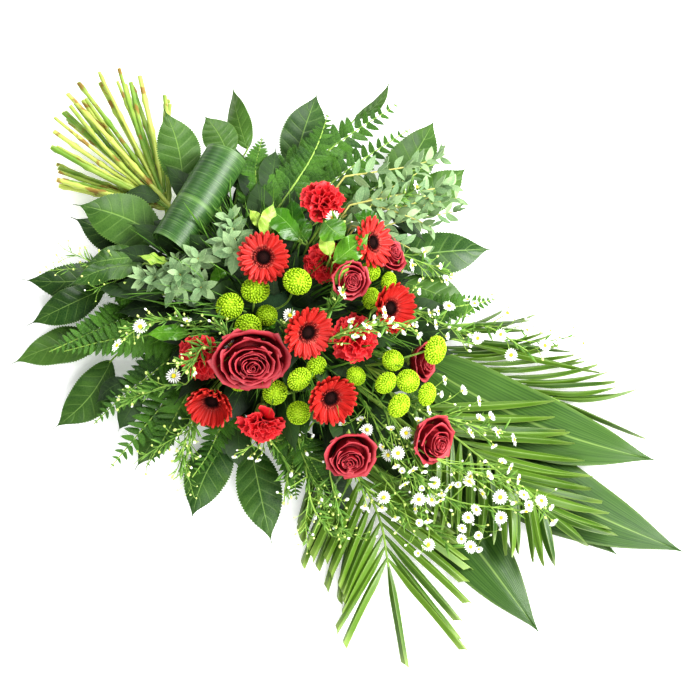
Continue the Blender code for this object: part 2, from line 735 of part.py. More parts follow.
def eucalyptus(number, spec):
    entry = point(spec["entry"])
    spine = [point(place) for place in spec["spine"]]
    pieces = [tube([planted(spine[0], entry, EUCALYPTUS_STEM)] + spine, EUCALYPTUS_STEM, taper=0.7)]
    draw = random.Random(SEED + number)
    for index in range(EUCALYPTUS_PAIRS):
        start, forward = alongLine(spine, 0.08 + 0.9 * index / (EUCALYPTUS_PAIRS - 1))
        for sign in (1, -1):
            angle = sign * (60 + 20 * draw.random())
            length = 19 + 5 * draw.random()
            pieces.append(leaflet(start, forward, angle, length, 8, -4, broadProfile))
    joined(f"eucalyptus_{number}", pieces, "eucalyptus", seatAt(entry))


# A small daisy: a lens whose rim goes in and out, one ray for each second rim point.
def daisy(place, facing):
    points = 10
    shape = bmesh.new()
    bmesh.ops.create_uvsphere(shape, u_segments=points, v_segments=2, radius=1)
    for vertex in shape.verts:
        if abs(vertex.co.z) > 0.5:
            vertex.co = Vector((0, 0, 1.6 * vertex.co.z)) * MM
            continue
        turn = round(math.atan2(vertex.co.y, vertex.co.x) / math.tau * points)
        vertex.co *= ASTER_RADIUS * MM if turn % 2 else ASTER_RADIUS * 0.6 * MM
    piece = pieceFromBmesh(shape)
    piece.matrix_world = facingSeat(place / MM, facing)
    return piece


def asterSpray(number, spec):
    entry = point(spec["entry"])
    spine = [point(place) for place in spec["spine"]]
    stalk = ASTER_STEM * 1.2
    pieces = [tube([planted(spine[0], entry, stalk)] + spine, stalk)]
    draw = random.Random(SEED * 7 + number)
    count = spec["flowers"]
    for index in range(count):
        share = 0.12 + 0.88 * index / (count - 1)
        start, forward = alongLine(spine, share)
        side = forward.cross(UP).normalized() * (1 if index % 2 else -1)
        reach = (16 + 10 * draw.random()) * (0.45 if index == count - 1 else 1)
        lift = 12 + 8 * draw.random()
        end = start + (forward * 16 + side * reach + UP * lift) * MM
        facing = (end - start).normalized() + UP * 1.4
        foot = outOf(facingSeat(end / MM, facing), 3.8, 1.25, -0.2)
        pieces.append(tube([start, foot], ASTER_STEM * 0.7))
        pieces.append(daisy(end, facing))
    joined(f"aster_spray_{number}", pieces, "aster", seatAt(entry))


# Cut stems that fan out from the tie. A few of them go on from the tie into the foam.
def stemBunch():
    neck = point(BUNCH["neck"])
    draw = random.Random(SEED)
    pieces = []
    count = BUNCH["stems"]
    axis = Vector((-1, 0.35, 0)).normalized()
    across = axis.cross(UP)
    pieces.append(solidCone(axisSeat(neck, axis), low=-7, high=7, lowRadius=9, highRadius=9, sides=8))
    for index in range(count):
        share = (index + 0.5) / count
        turn = index * GOLDEN_ANGLE
        sideways = math.sqrt(share) * math.cos(turn)
        upwards = math.sqrt(share) * math.sin(turn)
        start = neck + (across * sideways + UP * upwards) * BUNCH["tie"] * MM
        low, high = BUNCH["angles"]
        spread = 0.5 - 0.46 * sideways + 0.08 * (draw.random() - 0.5)
        heading = math.radians(low + (high - low) * spread)
        bottom, top = BUNCH["heights"]
        height = bottom + (top - bottom) * (0.5 + 0.5 * upwards)
        reach = BUNCH["length"] * (0.8 + 0.25 * math.sin(math.pi * min(1, max(0, spread)) ** 1.3))
        reach = (reach + 20 * (draw.random() - 0.5)) * MM
        end = Vector((neck.x + reach * math.cos(heading), neck.y + reach * math.sin(heading), height * MM))
        pieces.append(tube([start, end], BUNCH["radius"]))
    for place in BUNCH_ENTRIES:
        entry = point(place)
        outside = neck + (entry - neck) * 0.06
        pieces.append(tube([planted(outside, entry, BUNCH["radius"]), outside], BUNCH["radius"]))
    joined("stem_bunch", pieces, "stem", seatAt(neck))


# A long leaf rolled into a tube, pinned to the foam's end by its stalk.
def rolledLeaf():
    first, last = [point(end) for end in ROLL["ends"]]
    axis = (last - first).normalized()
    side = axis.cross(UP).normalized()
    turn = math.radians(ROLL["turn"])

    def surface(u, t):
        share = (u + 1) / 2
        angle = share * turn - math.radians(60)
        radius = (ROLL["radius"] - ROLL["pitch"] * share * turn / math.tau) * MM
        ends = 0.03 * math.cos(angle)
        place = first + (last - first) * (t + ends * (0.5 - t))
        return place + (side * math.cos(angle) + UP * math.sin(angle)) * radius

    pin = point(ROLL["pin"])
    middle = first + (last - first) * 0.82
    innerWall = ROLL["radius"] - 1.2 * ROLL["pitch"]
    outside = middle + (pin - middle).normalized() * innerWall * MM
    pieces = [
        blade(surface, columns=16, rows=1, thickness=LEAF_SHEET),
        tube([planted(outside, pin, TWIG), outside], TWIG),
    ]
    joined("rolled_leaf", pieces, "leaf", seatAt(middle))


def tray():
    bpy.ops.mesh.primitive_cube_add(size=1, location=(0, 0, TRAY_HEIGHT / 2 * MM))
    body = bpy.context.object
    length = FOAM_LENGTH + 2 * (GAP + TRAY_WALL)
    width = FOAM_WIDTH + 2 * (GAP + TRAY_WALL)
    body.data.transform(Matrix.Diagonal((length * MM, width * MM, TRAY_HEIGHT * MM, 1)))
    shape = bmesh.new()
    shape.from_mesh(body.data)
    uprights = [edge for edge in shape.edges if abs(edge.verts[0].co.z - edge.verts[1].co.z) > MM]
    bmesh.ops.bevel(shape, geom=uprights, offset=TRAY_CORNER * MM, segments=2, affect="EDGES", profile=0.5)
    shape.to_mesh(body.data)
    shape.free()
    pocketHeight = TRAY_HEIGHT
    bpy.ops.mesh.primitive_cube_add(size=1, location=(0, 0, (TRAY_FLOOR + pocketHeight / 2) * MM))
    pocket = bpy.context.object
    size = ((FOAM_LENGTH + 2 * GAP) * MM, (FOAM_WIDTH + 2 * GAP) * MM, pocketHeight * MM, 1)
    pocket.data.transform(Matrix.Diagonal(size))
    asCutter(pocket, "tray_pocket")
    addToSpray(body, "tray", "tray")
    cut = body.modifiers.new("pocket", "BOOLEAN")
    cut.operation = "DIFFERENCE"
    cut.object = pocket


def asCutter(item, name):
    item.name = name
    item.hide_render = True
    item.display_type = "WIRE"
    for collection in list(item.users_collection):
        collection.objects.unlink(item)
    cutters.objects.link(item)


def addToSpray(item, name, look):
    item.name = name
    for collection in list(item.users_collection):
        collection.objects.unlink(item)
    spray.objects.link(item)
    item.data.materials.append(makeMaterial(look))
    item.parent = root


# The foam block, with a plain straight hole for each stem pushed into it.
def foam():
    middle = TRAY_FLOOR + GAP + FOAM_HEIGHT / 2
    bpy.ops.mesh.primitive_cube_add(size=1, location=(0, 0, middle * MM))
    block = bpy.context.object
    block.data.transform(Matrix.Diagonal((FOAM_LENGTH * MM, FOAM_WIDTH * MM, FOAM_HEIGHT * MM, 1)))
    addToSpray(block, "foam", "foam")
    drills = newCollection("stem holes")
    sides = 4
    for index, hole in enumerate(holes):
        radius = (hole["radius"] + GAP) / math.cos(math.pi / sides)
        seat = axisSeat(hole["entry"], hole["inward"])
        drill = solidCone(seat, -DRILL_OVERRUN, STEM_DEPTH + GAP, radius, radius, sides)
        workbench.objects.unlink(drill)
        drills.objects.link(drill)
        drill.name = f"stem_hole_{index + 1}"
        drill.hide_render = True
        drill.display_type = "WIRE"
    cut = block.modifiers.new("stem holes", "BOOLEAN")
    cut.operation = "DIFFERENCE"
    cut.operand_type = "COLLECTION"
    cut.collection = drills


clearScene()
spray = newCollection("casket_spray")
cutters = newCollection("cutters")
workbench = newCollection("workbench")
root = bpy.data.objects.new("casket_spray", None)
spray.objects.link(root)

tray()
stemBunch()
rolledLeaf()
for number, spec in enumerate(GERBERAS, 1):
    gerbera(number, spec)
for number, spec in enumerate(ROSES, 1):
    rose(number, spec)
for number, spec in enumerate(CARNATIONS, 1):
    carnation(number, spec)
for number, spec in enumerate(SANTINI, 1):
    santiniSpray(number, spec)
for number, spec in enumerate(LEAF_TWIGS, 1):
    leafTwig(f"broad_leaf_twig_{number}", spec, "broad leaf")
leafTwig("bright_leaf_twig", BRIGHT_LEAVES, "bright leaf")
for number, spec in enumerate(ASPIDISTRAS, 1):
    aspidistra(number, spec)
for number, spec in enumerate(PALMS, 1):
    palm(number, spec)
for number, spec in enumerate(FERNS, 1):
    fern(number, spec)
for number, spec in enumerate(EUCALYPTUS, 1):
    eucalyptus(number, spec)
for number, spec in enumerate(ASTERS, 1):
    asterSpray(number, spec)
foam()
bpy.data.collections.remove(workbench)
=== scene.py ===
import json
import math
import random

import bpy
import numpy as np
from mathutils import Matrix, Vector

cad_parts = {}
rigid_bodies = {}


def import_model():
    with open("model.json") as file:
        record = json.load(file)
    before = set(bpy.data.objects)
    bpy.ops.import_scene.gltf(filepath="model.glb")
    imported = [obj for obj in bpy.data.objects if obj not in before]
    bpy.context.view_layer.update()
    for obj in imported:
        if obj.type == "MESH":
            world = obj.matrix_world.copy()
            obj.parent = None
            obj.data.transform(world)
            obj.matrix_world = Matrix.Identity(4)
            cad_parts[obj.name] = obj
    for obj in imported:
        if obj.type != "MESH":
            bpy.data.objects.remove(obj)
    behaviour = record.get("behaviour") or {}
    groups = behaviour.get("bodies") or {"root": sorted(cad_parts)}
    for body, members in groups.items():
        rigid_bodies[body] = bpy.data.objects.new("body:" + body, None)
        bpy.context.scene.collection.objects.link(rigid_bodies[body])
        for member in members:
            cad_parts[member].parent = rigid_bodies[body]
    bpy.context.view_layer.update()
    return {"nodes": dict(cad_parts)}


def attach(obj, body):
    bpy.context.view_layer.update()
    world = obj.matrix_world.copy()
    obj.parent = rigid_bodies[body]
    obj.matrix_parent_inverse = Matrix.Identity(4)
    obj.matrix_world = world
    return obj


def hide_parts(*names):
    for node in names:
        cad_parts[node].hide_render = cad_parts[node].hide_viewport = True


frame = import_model()

mm = 0.001
up = Vector((0, 0, 1))
goldenAngle = math.radians(137.5)
foamTop = 83.3
foamHalf = Vector((113, 53, 0))
stemDepth = 24  # how far a stem's end stands in the foam
veinSweep = 0.16  # how far side veins run forwards, of a leaf's length
weldDistance = 0.00001  # in metres

bench = bpy.data.collections.new("bench")
bpy.context.scene.collection.children.link(bench)


# A value in a material's nodes that Python expressions work on.
class Flow:
    def __init__(self, look, socket):
        self.look = look
        self.socket = socket

    def maths(self, operation, *values):
        inputs = dict(enumerate(values))
        return self.look.node("Math", dict(operation=operation), inputs)

    def __add__(self, other):
        return self.maths("ADD", self, other)

    def __sub__(self, other):
        return self.maths("SUBTRACT", self, other)

    def __rsub__(self, other):
        return self.maths("SUBTRACT", other, self)

    def __mul__(self, other):
        return self.maths("MULTIPLY", self, other)

    __radd__ = __add__
    __rmul__ = __mul__

    def size(self):
        return self.maths("ABSOLUTE", self)

    def fraction(self):
        return self.maths("FRACT", self)

    def rise(self, low, high):  # 0 below low, 1 above high, smooth between
        inputs = {"Value": self, "From Min": low, "From Max": high}
        return self.look.node("MapRange", dict(interpolation_type="SMOOTHSTEP"), inputs)

    def wave(self, turns):  # from -1 to 1, with that many turns for each unit
        return self.maths("SINE", self * (turns * math.tau))


class Look:
    def __init__(self, name, fixed=None):
        self.material = bpy.data.materials.new(name)
        self.material.use_nodes = True
        self.tree = self.material.node_tree
        self.shader = self.tree.nodes["Principled BSDF"]
        for socket, value in (fixed or {}).items():
            self.shader.inputs[socket].default_value = value

    def node(self, kind, settings=None, inputs=None, output=0):
        made = self.tree.nodes.new("ShaderNode" + kind)
        for key, value in (settings or {}).items():
            if key == "stops":
                ramp = made.color_ramp.elements
                while len(ramp) < len(value):
                    ramp.new(0.5)
                for stop, (place, colour) in zip(ramp, value):
                    stop.position = place
                    stop.color = (*colour, 1)
            else:
                setattr(made, key, value)
        for key, value in (inputs or {}).items():
            self.feed(made.inputs[key], value)
        return Flow(self, made.outputs[output])

    def feed(self, socket, value):
        if isinstance(value, Flow):
            self.tree.links.new(value.socket, socket)
        elif isinstance(value, tuple) and len(value) == 3 and socket.type == "RGBA":
            socket.default_value = (*value, 1)
        else:
            socket.default_value = value

    def mix(self, share, first, second):  # two colours
        settings = dict(data_type="RGBA")
        return self.node("Mix", settings, {0: share, 6: first, 7: second}, output=2)

    def ramp(self, value, *stops):
        return self.node("ValToRGB", dict(stops=stops), {0: value})

    def place(self):
        return self.node("TexCoord", output="Object")

    def noise(self, scale, detail=3.0, stretch=None):
        vector = self.place()
        if stretch:
            vector = self.node("Mapping", None, {"Vector": vector, "Scale": stretch})
        return self.node("TexNoise", None, {"Vector": vector, "Scale": scale, "Detail": detail})

    def tint(self):  # differs from copy to copy, about -1 to 1
        return self.node("Attribute", dict(attribute_name="tint"), output="Fac")

    def across(self):  # 0 on a blade's middle line, 1 at its edges
        return (self.uv("X") * 2 - 1).size()

    def uv(self, axis):
        inputs = {0: self.node("UVMap", dict(uv_map="UVMap"))}
        return self.node("SeparateXYZ", None, inputs, output=axis)

    def bump(self, height, distance, strength=1.0):
        inputs = {"Height": height, "Distance": distance * mm, "Strength": strength}
        self.feed(self.shader.inputs["Normal"], self.node("Bump", None, inputs))

    def paint(self, colour, roughness=None):
        self.feed(self.shader.inputs["Base Color"], colour)
        if roughness is not None:
            self.feed(self.shader.inputs["Roughness"], roughness)
        return self.material


# A net-veined leaf: dark blade, pale middle vein, curved side veins, soft mottling.
def veinedLook(name, dark, fresh, vein, pairs=8, gloss=0.38, veins=0.22):
    look = Look(name, {"Specular IOR Level": 0.38})
    across = look.across()
    along = look.uv("Y")
    rib = 1 - across.rise(0.006, 0.04)
    phase = (along - across * veinSweep) * pairs
    side = (1 - ((phase.fraction() - 0.5).size()).rise(0.02, 0.09)) * (1 - across.rise(0.55, 1.0))
    cells = look.node(
        "TexVoronoi", dict(feature="DISTANCE_TO_EDGE"), {"Vector": look.place(), "Scale": 330.0},
    )
    net = 1 - cells.rise(0.0, 0.16)
    mottle = look.noise(26.0, detail=5.0)
    shade = (mottle - 0.5) * 1.1 + look.tint() * 0.35 + 0.5 + (phase.wave(1.0) * across) * 0.10
    body = look.mix(shade.rise(0.05, 0.95), dark, fresh)
    body = look.mix(net * 0.10, body, vein)
    body = look.mix(side * veins, body, vein)
    body = look.mix(across.rise(0.93, 1.0) * 0.35, body, vein)
    colour = look.mix(rib * 0.7, body, vein)
    look.bump(net * -0.05 + side * -0.5 + rib * -0.6 + look.noise(160.0) * 0.35, 0.5, 0.6)
    return look.paint(colour, gloss + mottle * 0.16 + rib * 0.1)


# A leaf with parallel veins, pleated lengthwise, pale towards its edges.
def stripedLook(name, dark, fresh, pale, stripes, gloss, tipPale=0.0, edge=0.25, grain=26, threads=0.0):
    look = Look(name, {"Specular IOR Level": 0.5})
    across = look.across()
    side = look.uv("X")
    along = look.uv("Y")
    wander = side + look.noise(14.0, detail=1.0) * 0.02
    fine = wander.wave(stripes) * 0.5 + 0.5
    finer = wander.wave(stripes * 3.7) * 0.5 + 0.5
    drawn = look.node("CombineXYZ", None, {0: side * grain, 1: along * 2.2, 2: look.tint() * 9})
    streak = look.node("TexNoise", None, {"Vector": drawn, "Scale": 1.0, "Detail": 4.0})
    shade = streak * 1.1 + fine * 0.16 + finer * 0.08 + look.tint() * 0.25 - 0.16
    body = look.mix(shade.rise(0.1, 0.95), dark, fresh)
    body = look.mix((across.rise(0.86, 1.0) + along.rise(0.8, 1.0) * tipPale) * edge, body, pale)
    rib = 1 - across.rise(0.01, 0.06)
    if threads:
        thread = look.node("CombineXYZ", None, {0: side * 190, 1: along * 5, 2: 4.0})
        line = look.node("TexNoise", None, {"Vector": thread, "Scale": 1.0, "Detail": 1.0})
        body = look.mix(line.rise(0.54, 0.70) * threads, body, pale)
    colour = look.mix(rib * 0.5, body, pale)
    look.bump(fine * 0.4 + finer * 0.25 - rib * 0.5, 0.25, 0.6)
    return look.paint(colour, gloss + streak * 0.14)


# A petal with fine lines along it, darker at its root and paler at its rim.
def petalLook(name, base, body, edge, streaks, rough, fade=0.9):
    look = Look(name, {"Specular IOR Level": 0.35})
    side = look.uv("X")
    along = look.uv("Y")
    lines = side.wave(streaks) * 0.5 + 0.5
    grain = look.noise(220.0, detail=4.0)
    shade = look.mix(along.rise(0.0, 0.55), base, body)
    shade = look.mix(look.tint() * 0.22 + grain * 0.22 + lines * 0.12, shade, tuple(0.55 * v for v in body))
    rim = along.rise(fade, 1.0) * 0.6 + look.across().rise(0.8, 1.0) * 0.25
    look.bump(lines * 0.5 + grain * 0.35, 0.3, 0.55)
    return look.paint(look.mix(rim, shade, edge), rough + grain * 0.12)


# Green or brown stalks, mottled along their length.
def stalkLook(name, dark, fresh, scale=60.0, rough=0.5):
    look = Look(name, {"Specular IOR Level": 0.4})
    grain = look.noise(scale, detail=5.0)
    look.bump(look.noise(420.0), 0.25, 0.5)
    shade = (grain - 0.5) * 1.4 + look.tint() * 0.5 + 0.5
    return look.paint(look.mix(shade.rise(0.0, 1.0), dark, fresh), rough + grain * 0.15)


# Cut stems, from dark green to yellow, with brown scars.
def cutStemLook():
    look = Look("cut stem", {"Specular IOR Level": 0.45})
    grain = look.noise(30.0, detail=4.0)
    scar = look.noise(75.0, detail=5.0, stretch=(0.6, 1.0, 1.0)).rise(0.57, 0.66)
    shade = (grain - 0.5) * 1.2 + look.tint() * 0.32 + 0.5
    colour = look.mix(shade.rise(0.0, 1.0), (0.12, 0.26, 0.022), (0.56, 0.64, 0.14))
    look.bump(look.noise(320.0) + scar, 0.3, 0.6)
    return look.paint(look.mix(scar * 0.8, colour, (0.26, 0.10, 0.02)), 0.42 + scar * 0.3)


# One mottled colour.
def plainLook(name, dark, fresh, scale=300.0, rough=0.6):
    look = Look(name, {"Specular IOR Level": 0.35})
    grain = look.noise(scale)
    look.bump(grain, 0.3, 0.6)
    shade = (grain - 0.5) * 1.2 + look.tint() * 0.4 + 0.5
    return look.paint(look.mix(shade.rise(0.0, 1.0), dark, fresh), rough)


# A floret or a leaf that is darker at its root than at its tip.
def tippedLook(name, root, body, tip, rough=0.6):
    look = Look(name, {"Specular IOR Level": 0.18})
    along = look.uv("Y")
    shade = along + look.tint() * 0.15
    colour = look.ramp(shade, (0.0, root), (0.45, body), (1.0, tip))
    look.bump(look.noise(500.0), 0.1, 0.4)
    return look.paint(colour, rough)


looks = {
    "broad": veinedLook(
        "broad leaf", (0.012, 0.050, 0.006), (0.066, 0.150, 0.022), (0.20, 0.34, 0.07), gloss=0.33,
    ),
    # Near-black filler leaves: their colour is painted shade for the gaps deep under the blooms.
    "shade": veinedLook(
        "leaf in painted shade", (0.004, 0.018, 0.003), (0.022, 0.062, 0.009), (0.06, 0.13, 0.02), gloss=0.5,
    ),
    "bright": veinedLook(
        "bright leaf", (0.030, 0.120, 0.006), (0.120, 0.300, 0.018), (0.26, 0.46, 0.08), pairs=6,
        gloss=0.18, veins=0.1,
    ),
    "glossy": veinedLook(
        "glossy leaf", (0.012, 0.062, 0.003), (0.060, 0.185, 0.010), (0.14, 0.30, 0.04), pairs=6,
        gloss=0.16, veins=0.08,
    ),
    "lime": veinedLook(
        "young leaf", (0.16, 0.34, 0.025), (0.40, 0.58, 0.085), (0.56, 0.72, 0.20), pairs=5, gloss=0.30,
    ),
    "gum": veinedLook(
        "eucalyptus leaf", (0.105, 0.205, 0.085), (0.31, 0.45, 0.215), (0.46, 0.59, 0.29), pairs=6,
        gloss=0.50, veins=0.10,
    ),
    "fern": veinedLook(
        "fern leaflet", (0.008, 0.046, 0.003), (0.080, 0.215, 0.020), (0.20, 0.38, 0.07), pairs=7, gloss=0.30,
    ),
    "aspidistra": stripedLook(
        "aspidistra leaf", (0.009, 0.042, 0.004), (0.064, 0.142, 0.020), (0.24, 0.36, 0.09), stripes=22,
        gloss=0.24, grain=75,
    ),
    "roll": stripedLook(
        "rolled leaf", (0.009, 0.048, 0.005), (0.040, 0.118, 0.017), (0.17, 0.31, 0.08), stripes=33,
        gloss=0.36,
        grain=60, threads=0.6,
    ),
    "palm": stripedLook(
        "palm leaflet", (0.012, 0.050, 0.003), (0.105, 0.205, 0.017), (0.38, 0.50, 0.14), stripes=3.5,
        gloss=0.26, tipPale=0.7, edge=0.5,
    ),
    "gerbera": petalLook(
        "gerbera petal", (0.09, 0.002, 0.002), (0.47, 0.018, 0.013), (0.64, 0.064, 0.044), streaks=4,
        rough=0.42,
    ),
    "floret": tippedLook(
        "disc floret", (0.0008, 0.0002, 0.0002), (0.003, 0.0006, 0.0006), (0.022, 0.004, 0.003), rough=0.8,
    ),
    "ring": tippedLook("ring floret", (0.02, 0.001, 0.001), (0.13, 0.006, 0.005), (0.62, 0.11, 0.08)),
    # Rose petals: the near-black root is painted shade of the bloom's deep folds, and the pinkish rim is a
    # painted sheen.
    "rose": petalLook(
        "rose petal", (0.022, 0.0006, 0.001), (0.28, 0.010, 0.018), (0.50, 0.066, 0.084), streaks=5,
        rough=0.42,
        fade=0.55,
    ),
    "carnation": petalLook(
        "carnation petal", (0.20, 0.003, 0.006), (0.66, 0.018, 0.028), (0.84, 0.075, 0.078), streaks=8,
        rough=0.45,
    ),
    "button": tippedLook("button floret", (0.11, 0.24, 0.003), (0.31, 0.51, 0.010), (0.50, 0.68, 0.042)),
    "white": plainLook("white ray", (0.84, 0.86, 0.80), (0.96, 0.96, 0.93), rough=0.5),
    "yellow": plainLook("yellow middle", (0.60, 0.46, 0.01), (0.92, 0.80, 0.04), scale=900.0, rough=0.7),
    "bud": plainLook("bud", (0.42, 0.56, 0.10), (0.74, 0.82, 0.32), rough=0.5),
    "haze": tippedLook("aster leaf", (0.030, 0.095, 0.012), (0.10, 0.22, 0.035), (0.22, 0.38, 0.08)),
    "blade": tippedLook("fine blade", (0.008, 0.032, 0.004), (0.040, 0.115, 0.015), (0.13, 0.27, 0.04)),
    "stalk": stalkLook("green stalk", (0.12, 0.24, 0.03), (0.36, 0.54, 0.10)),
    "twig": stalkLook("gum twig", (0.26, 0.26, 0.06), (0.58, 0.56, 0.18)),
    "cutStem": cutStemLook(),
    "pith": plainLook("cut face", (0.72, 0.76, 0.42), (0.92, 0.93, 0.68)),
    "calyx": plainLook("calyx", (0.26, 0.43, 0.07), (0.50, 0.66, 0.18), scale=120.0, rough=0.5),
}
print("materials made")


def point(place):
    return Vector(place) * mm


def select(*pieces):
    bpy.ops.object.select_all(action="DESELECT")
    for piece in pieces:
        piece.select_set(True)
    bpy.context.view_layer.objects.active = pieces[0]


def pointsOf(piece):
    flat = np.empty(len(piece.data.vertices) * 3, np.float32)
    piece.data.vertices.foreach_get("co", flat)
    return flat.reshape(-1, 3).astype(float)


def setPoints(piece, points):
    piece.data.vertices.foreach_set("co", np.asarray(points, np.float32).ravel())
    piece.data.update()


def toBench(piece):
    for collection in list(piece.users_collection):
        collection.objects.unlink(piece)
    bench.objects.link(piece)
    return piece


# A model that later pieces copy: a primitive just added, with a name, a finish and a tint.
def model(name, look):
    piece = toBench(bpy.context.object)
    piece.name = name
    piece.data.materials.append(looks[look])
    piece.data.attributes.new("tint", "FLOAT", "POINT")
    return piece


# A sheet: a grid whose points go where shape(u, t) says, u from -1 to 1 and t from 0 to 1.
def sheet(name, look, columns, rows, shape):
    bpy.ops.object.select_all(action="DESELECT")
    bpy.ops.mesh.primitive_grid_add(x_subdivisions=columns, y_subdivisions=rows, size=2)
    piece = model(name, look)
    flat = pointsOf(piece)
    setPoints(piece, np.stack(shape(flat[:, 0], (flat[:, 1] + 1) / 2), axis=1))
    return piece


def thicken(piece, thickness):
    select(piece)
    bpy.ops.object.modifier_add(type="SOLIDIFY")
    piece.modifiers[-1].thickness = thickness * mm
    piece.modifiers[-1].offset = 0
    bpy.ops.object.modifier_apply(modifier=piece.modifiers[-1].name)
    return piece


# Runs one step of mesh editing on all of a piece.
def edited(piece, step, **settings):
    select(piece)
    bpy.ops.object.mode_set(mode="EDIT")
    bpy.ops.mesh.select_all(action="SELECT")
    step(**settings)
    bpy.ops.object.mode_set(mode="OBJECT")
    return piece


def welded(piece):
    return edited(piece, bpy.ops.mesh.remove_doubles, threshold=weldDistance)


def globe(name, look, segments, rings):
    bpy.ops.object.select_all(action="DESELECT")
    bpy.ops.mesh.primitive_uv_sphere_add(segments=segments, ring_count=rings, radius=1)
    return model(name, look)


# A slim closed floret, leaflet or ray along Y from 0 to 1: a globe of few faces, drawn out.
def spindle(name, look, segments, rings, width, depth, widest, curl=0.0):
    piece = globe(name, look, segments, rings)
    flat = pointsOf(piece)
    t = np.arccos(np.clip(-flat[:, 2], -1, 1)) / math.pi
    y = t ** (math.log(widest) / math.log(0.5))
    z = flat[:, 1] * depth + curl * y * y
    setPoints(piece, np.stack([flat[:, 0] * width, y, z], axis=1))
    return edited(piece, bpy.ops.mesh.normals_make_consistent, inside=False)


def copyOf(source, place=None, tint=0.0):
    piece = bpy.data.objects.new(source.name, source.data.copy())
    bench.objects.link(piece)
    if place is not None:
        piece.data.transform(place)
    if tint:
        values = np.empty(len(piece.data.vertices), np.float32)
        piece.data.attributes["tint"].data.foreach_get("value", values)
        piece.data.attributes["tint"].data.foreach_set("value", values + np.float32(tint))
    return piece


def joined(pieces, name="joined"):
    select(*pieces)
    if len(pieces) > 1:
        bpy.ops.object.join()
    pieces[0].name = name
    return pieces[0]


# The finished piece: smooth, named, riding on the spray and standing for its CAD nodes.
def settle(piece, name, slot, *nodes, smooth=40):
    select(piece)
    bpy.ops.object.shade_smooth_by_angle(angle=math.radians(smooth))
    bench.objects.unlink(piece)
    bpy.context.scene.collection.objects.link(piece)
    piece.name = name
    piece.data.name = name
    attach(piece, "root")
    if nodes:
        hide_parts(*nodes)
    return piece


def smoothRoute(points, steps=5):
    points = [Vector(p) for p in points]
    if len(points) == 2:
        return [points[0].lerp(points[1], k / steps) for k in range(steps + 1)]
    ends = [2 * points[0] - points[1]] + points + [2 * points[-1] - points[-2]]
    route = []
    for a, b, c, d in zip(ends, ends[1:], ends[2:], ends[3:]):
        for k in range(steps):
            t = k / steps
            square = (2 * a - 5 * b + 4 * c - d) * t**2
            route.append(0.5 * (2 * b + (c - a) * t + square + (3 * b - a - 3 * c + d) * t**3))
    return route + [points[-1]]


# Stalks along routes in metres, in one piece. Each route has its points and a radius, with a
# taper or with a radius for each point.
def stalks(routes, look, sides=1, tint=0.0):
    curve = bpy.data.curves.new("stalks", "CURVE")
    curve.dimensions = "3D"
    curve.bevel_depth = mm
    curve.bevel_resolution = sides
    curve.use_fill_caps = True
    for route in routes:
        spline = curve.splines.new("POLY")
        points = route["points"]
        spline.points.add(len(points) - 1)
        for index, place in enumerate(points):
            spline.points[index].co = (*place, 1)
            if "radii" in route:
                spline.points[index].radius = route["radii"][index]
            else:
                share = index / (len(points) - 1)
                taper = route.get("taper", 1)
                spline.points[index].radius = route["radius"] * (1 + (taper - 1) * share)
    holder = bpy.data.objects.new("stalks", curve)
    bench.objects.link(holder)
    select(holder)
    bpy.ops.object.convert(target="MESH")
    piece = bpy.context.object
    piece.data.materials.clear()
    piece.data.materials.append(looks[look])
    welded(piece)
    layer = piece.data.attributes.new("tint", "FLOAT", "POINT")
    layer.data.foreach_set("value", np.full(len(piece.data.vertices), tint, np.float32))
    return piece


# A frame at a place whose Y runs along a direction and whose Z leans as near upwards as it can.
def along(place, direction, lean=up, size=1.0, roll=0.0):
    y = Vector(direction).normalized()
    lean = Matrix.Rotation(math.radians(roll), 3, y) @ Vector(lean)
    x = y.cross(lean).normalized()
    z = x.cross(y)
    turn = Matrix((x, y, z)).transposed().to_4x4()
    return Matrix.Translation(place) @ turn @ Matrix.Scale(size, 4)


def facingSeat(place, facing, spin=0):
    turn = Vector(facing).to_track_quat("Z", "Y").to_matrix().to_4x4()
    return Matrix.Translation(point(place)) @ turn @ Matrix.Rotation(math.radians(spin), 4, "Z")


# Lays a copy of a flat leaf model from its base to its tip, arched, rolled, twisted and waved.
def lay(
    source, base, tip, half, arch=0, roll=0, twist=0, wave=0, phase=0.0, tint=0.0, bow=0, fold=0.16, lean=up
):
    piece = copyOf(source, tint=tint)
    x, y, z = pointsOf(piece).T
    forward = (tip - base).normalized()
    lean = Matrix.Rotation(math.radians(roll), 3, forward) @ lean
    side = forward.cross(lean).normalized()
    lean = side.cross(forward)
    width = x * half * mm
    sway = bow * mm * np.sin(math.pi * y)
    lift = arch * mm * np.sin(math.pi * y) - fold * np.abs(width)
    lift += wave * mm * x * x * np.sin(math.tau * (2.6 * y + phase) + np.sign(x))
    turn = math.radians(twist) * y
    acrossTurn = np.outer(np.cos(turn), side) + np.outer(np.sin(turn), lean)
    leanTurn = np.outer(np.cos(turn), lean) - np.outer(np.sin(turn), side)
    placed = np.array(base) + np.outer(y, tip - base) + np.outer(sway, side) + np.outer(lift, lean)
    setPoints(piece, placed + acrossTurn * width[:, None] + leanTurn * z[:, None])
    return piece


def growLine(points, share):
    lengths = [(b - a).length for a, b in zip(points, points[1:])]
    left = share * sum(lengths)
    for a, b, length in zip(points, points[1:], lengths):
        if left <= length or b is points[-1]:
            return a + (b - a) * left / length, (b - a).normalized()
        left -= length


def flat(u, t):
    return u, t, 0 * u


# Broad toothed leaf: drawn out to a thin tip, quilted between its side veins.
broad = dict(teeth=36, toothDepth=0.07, veinPairs=8, quilt=0.7, sheet=0.7)


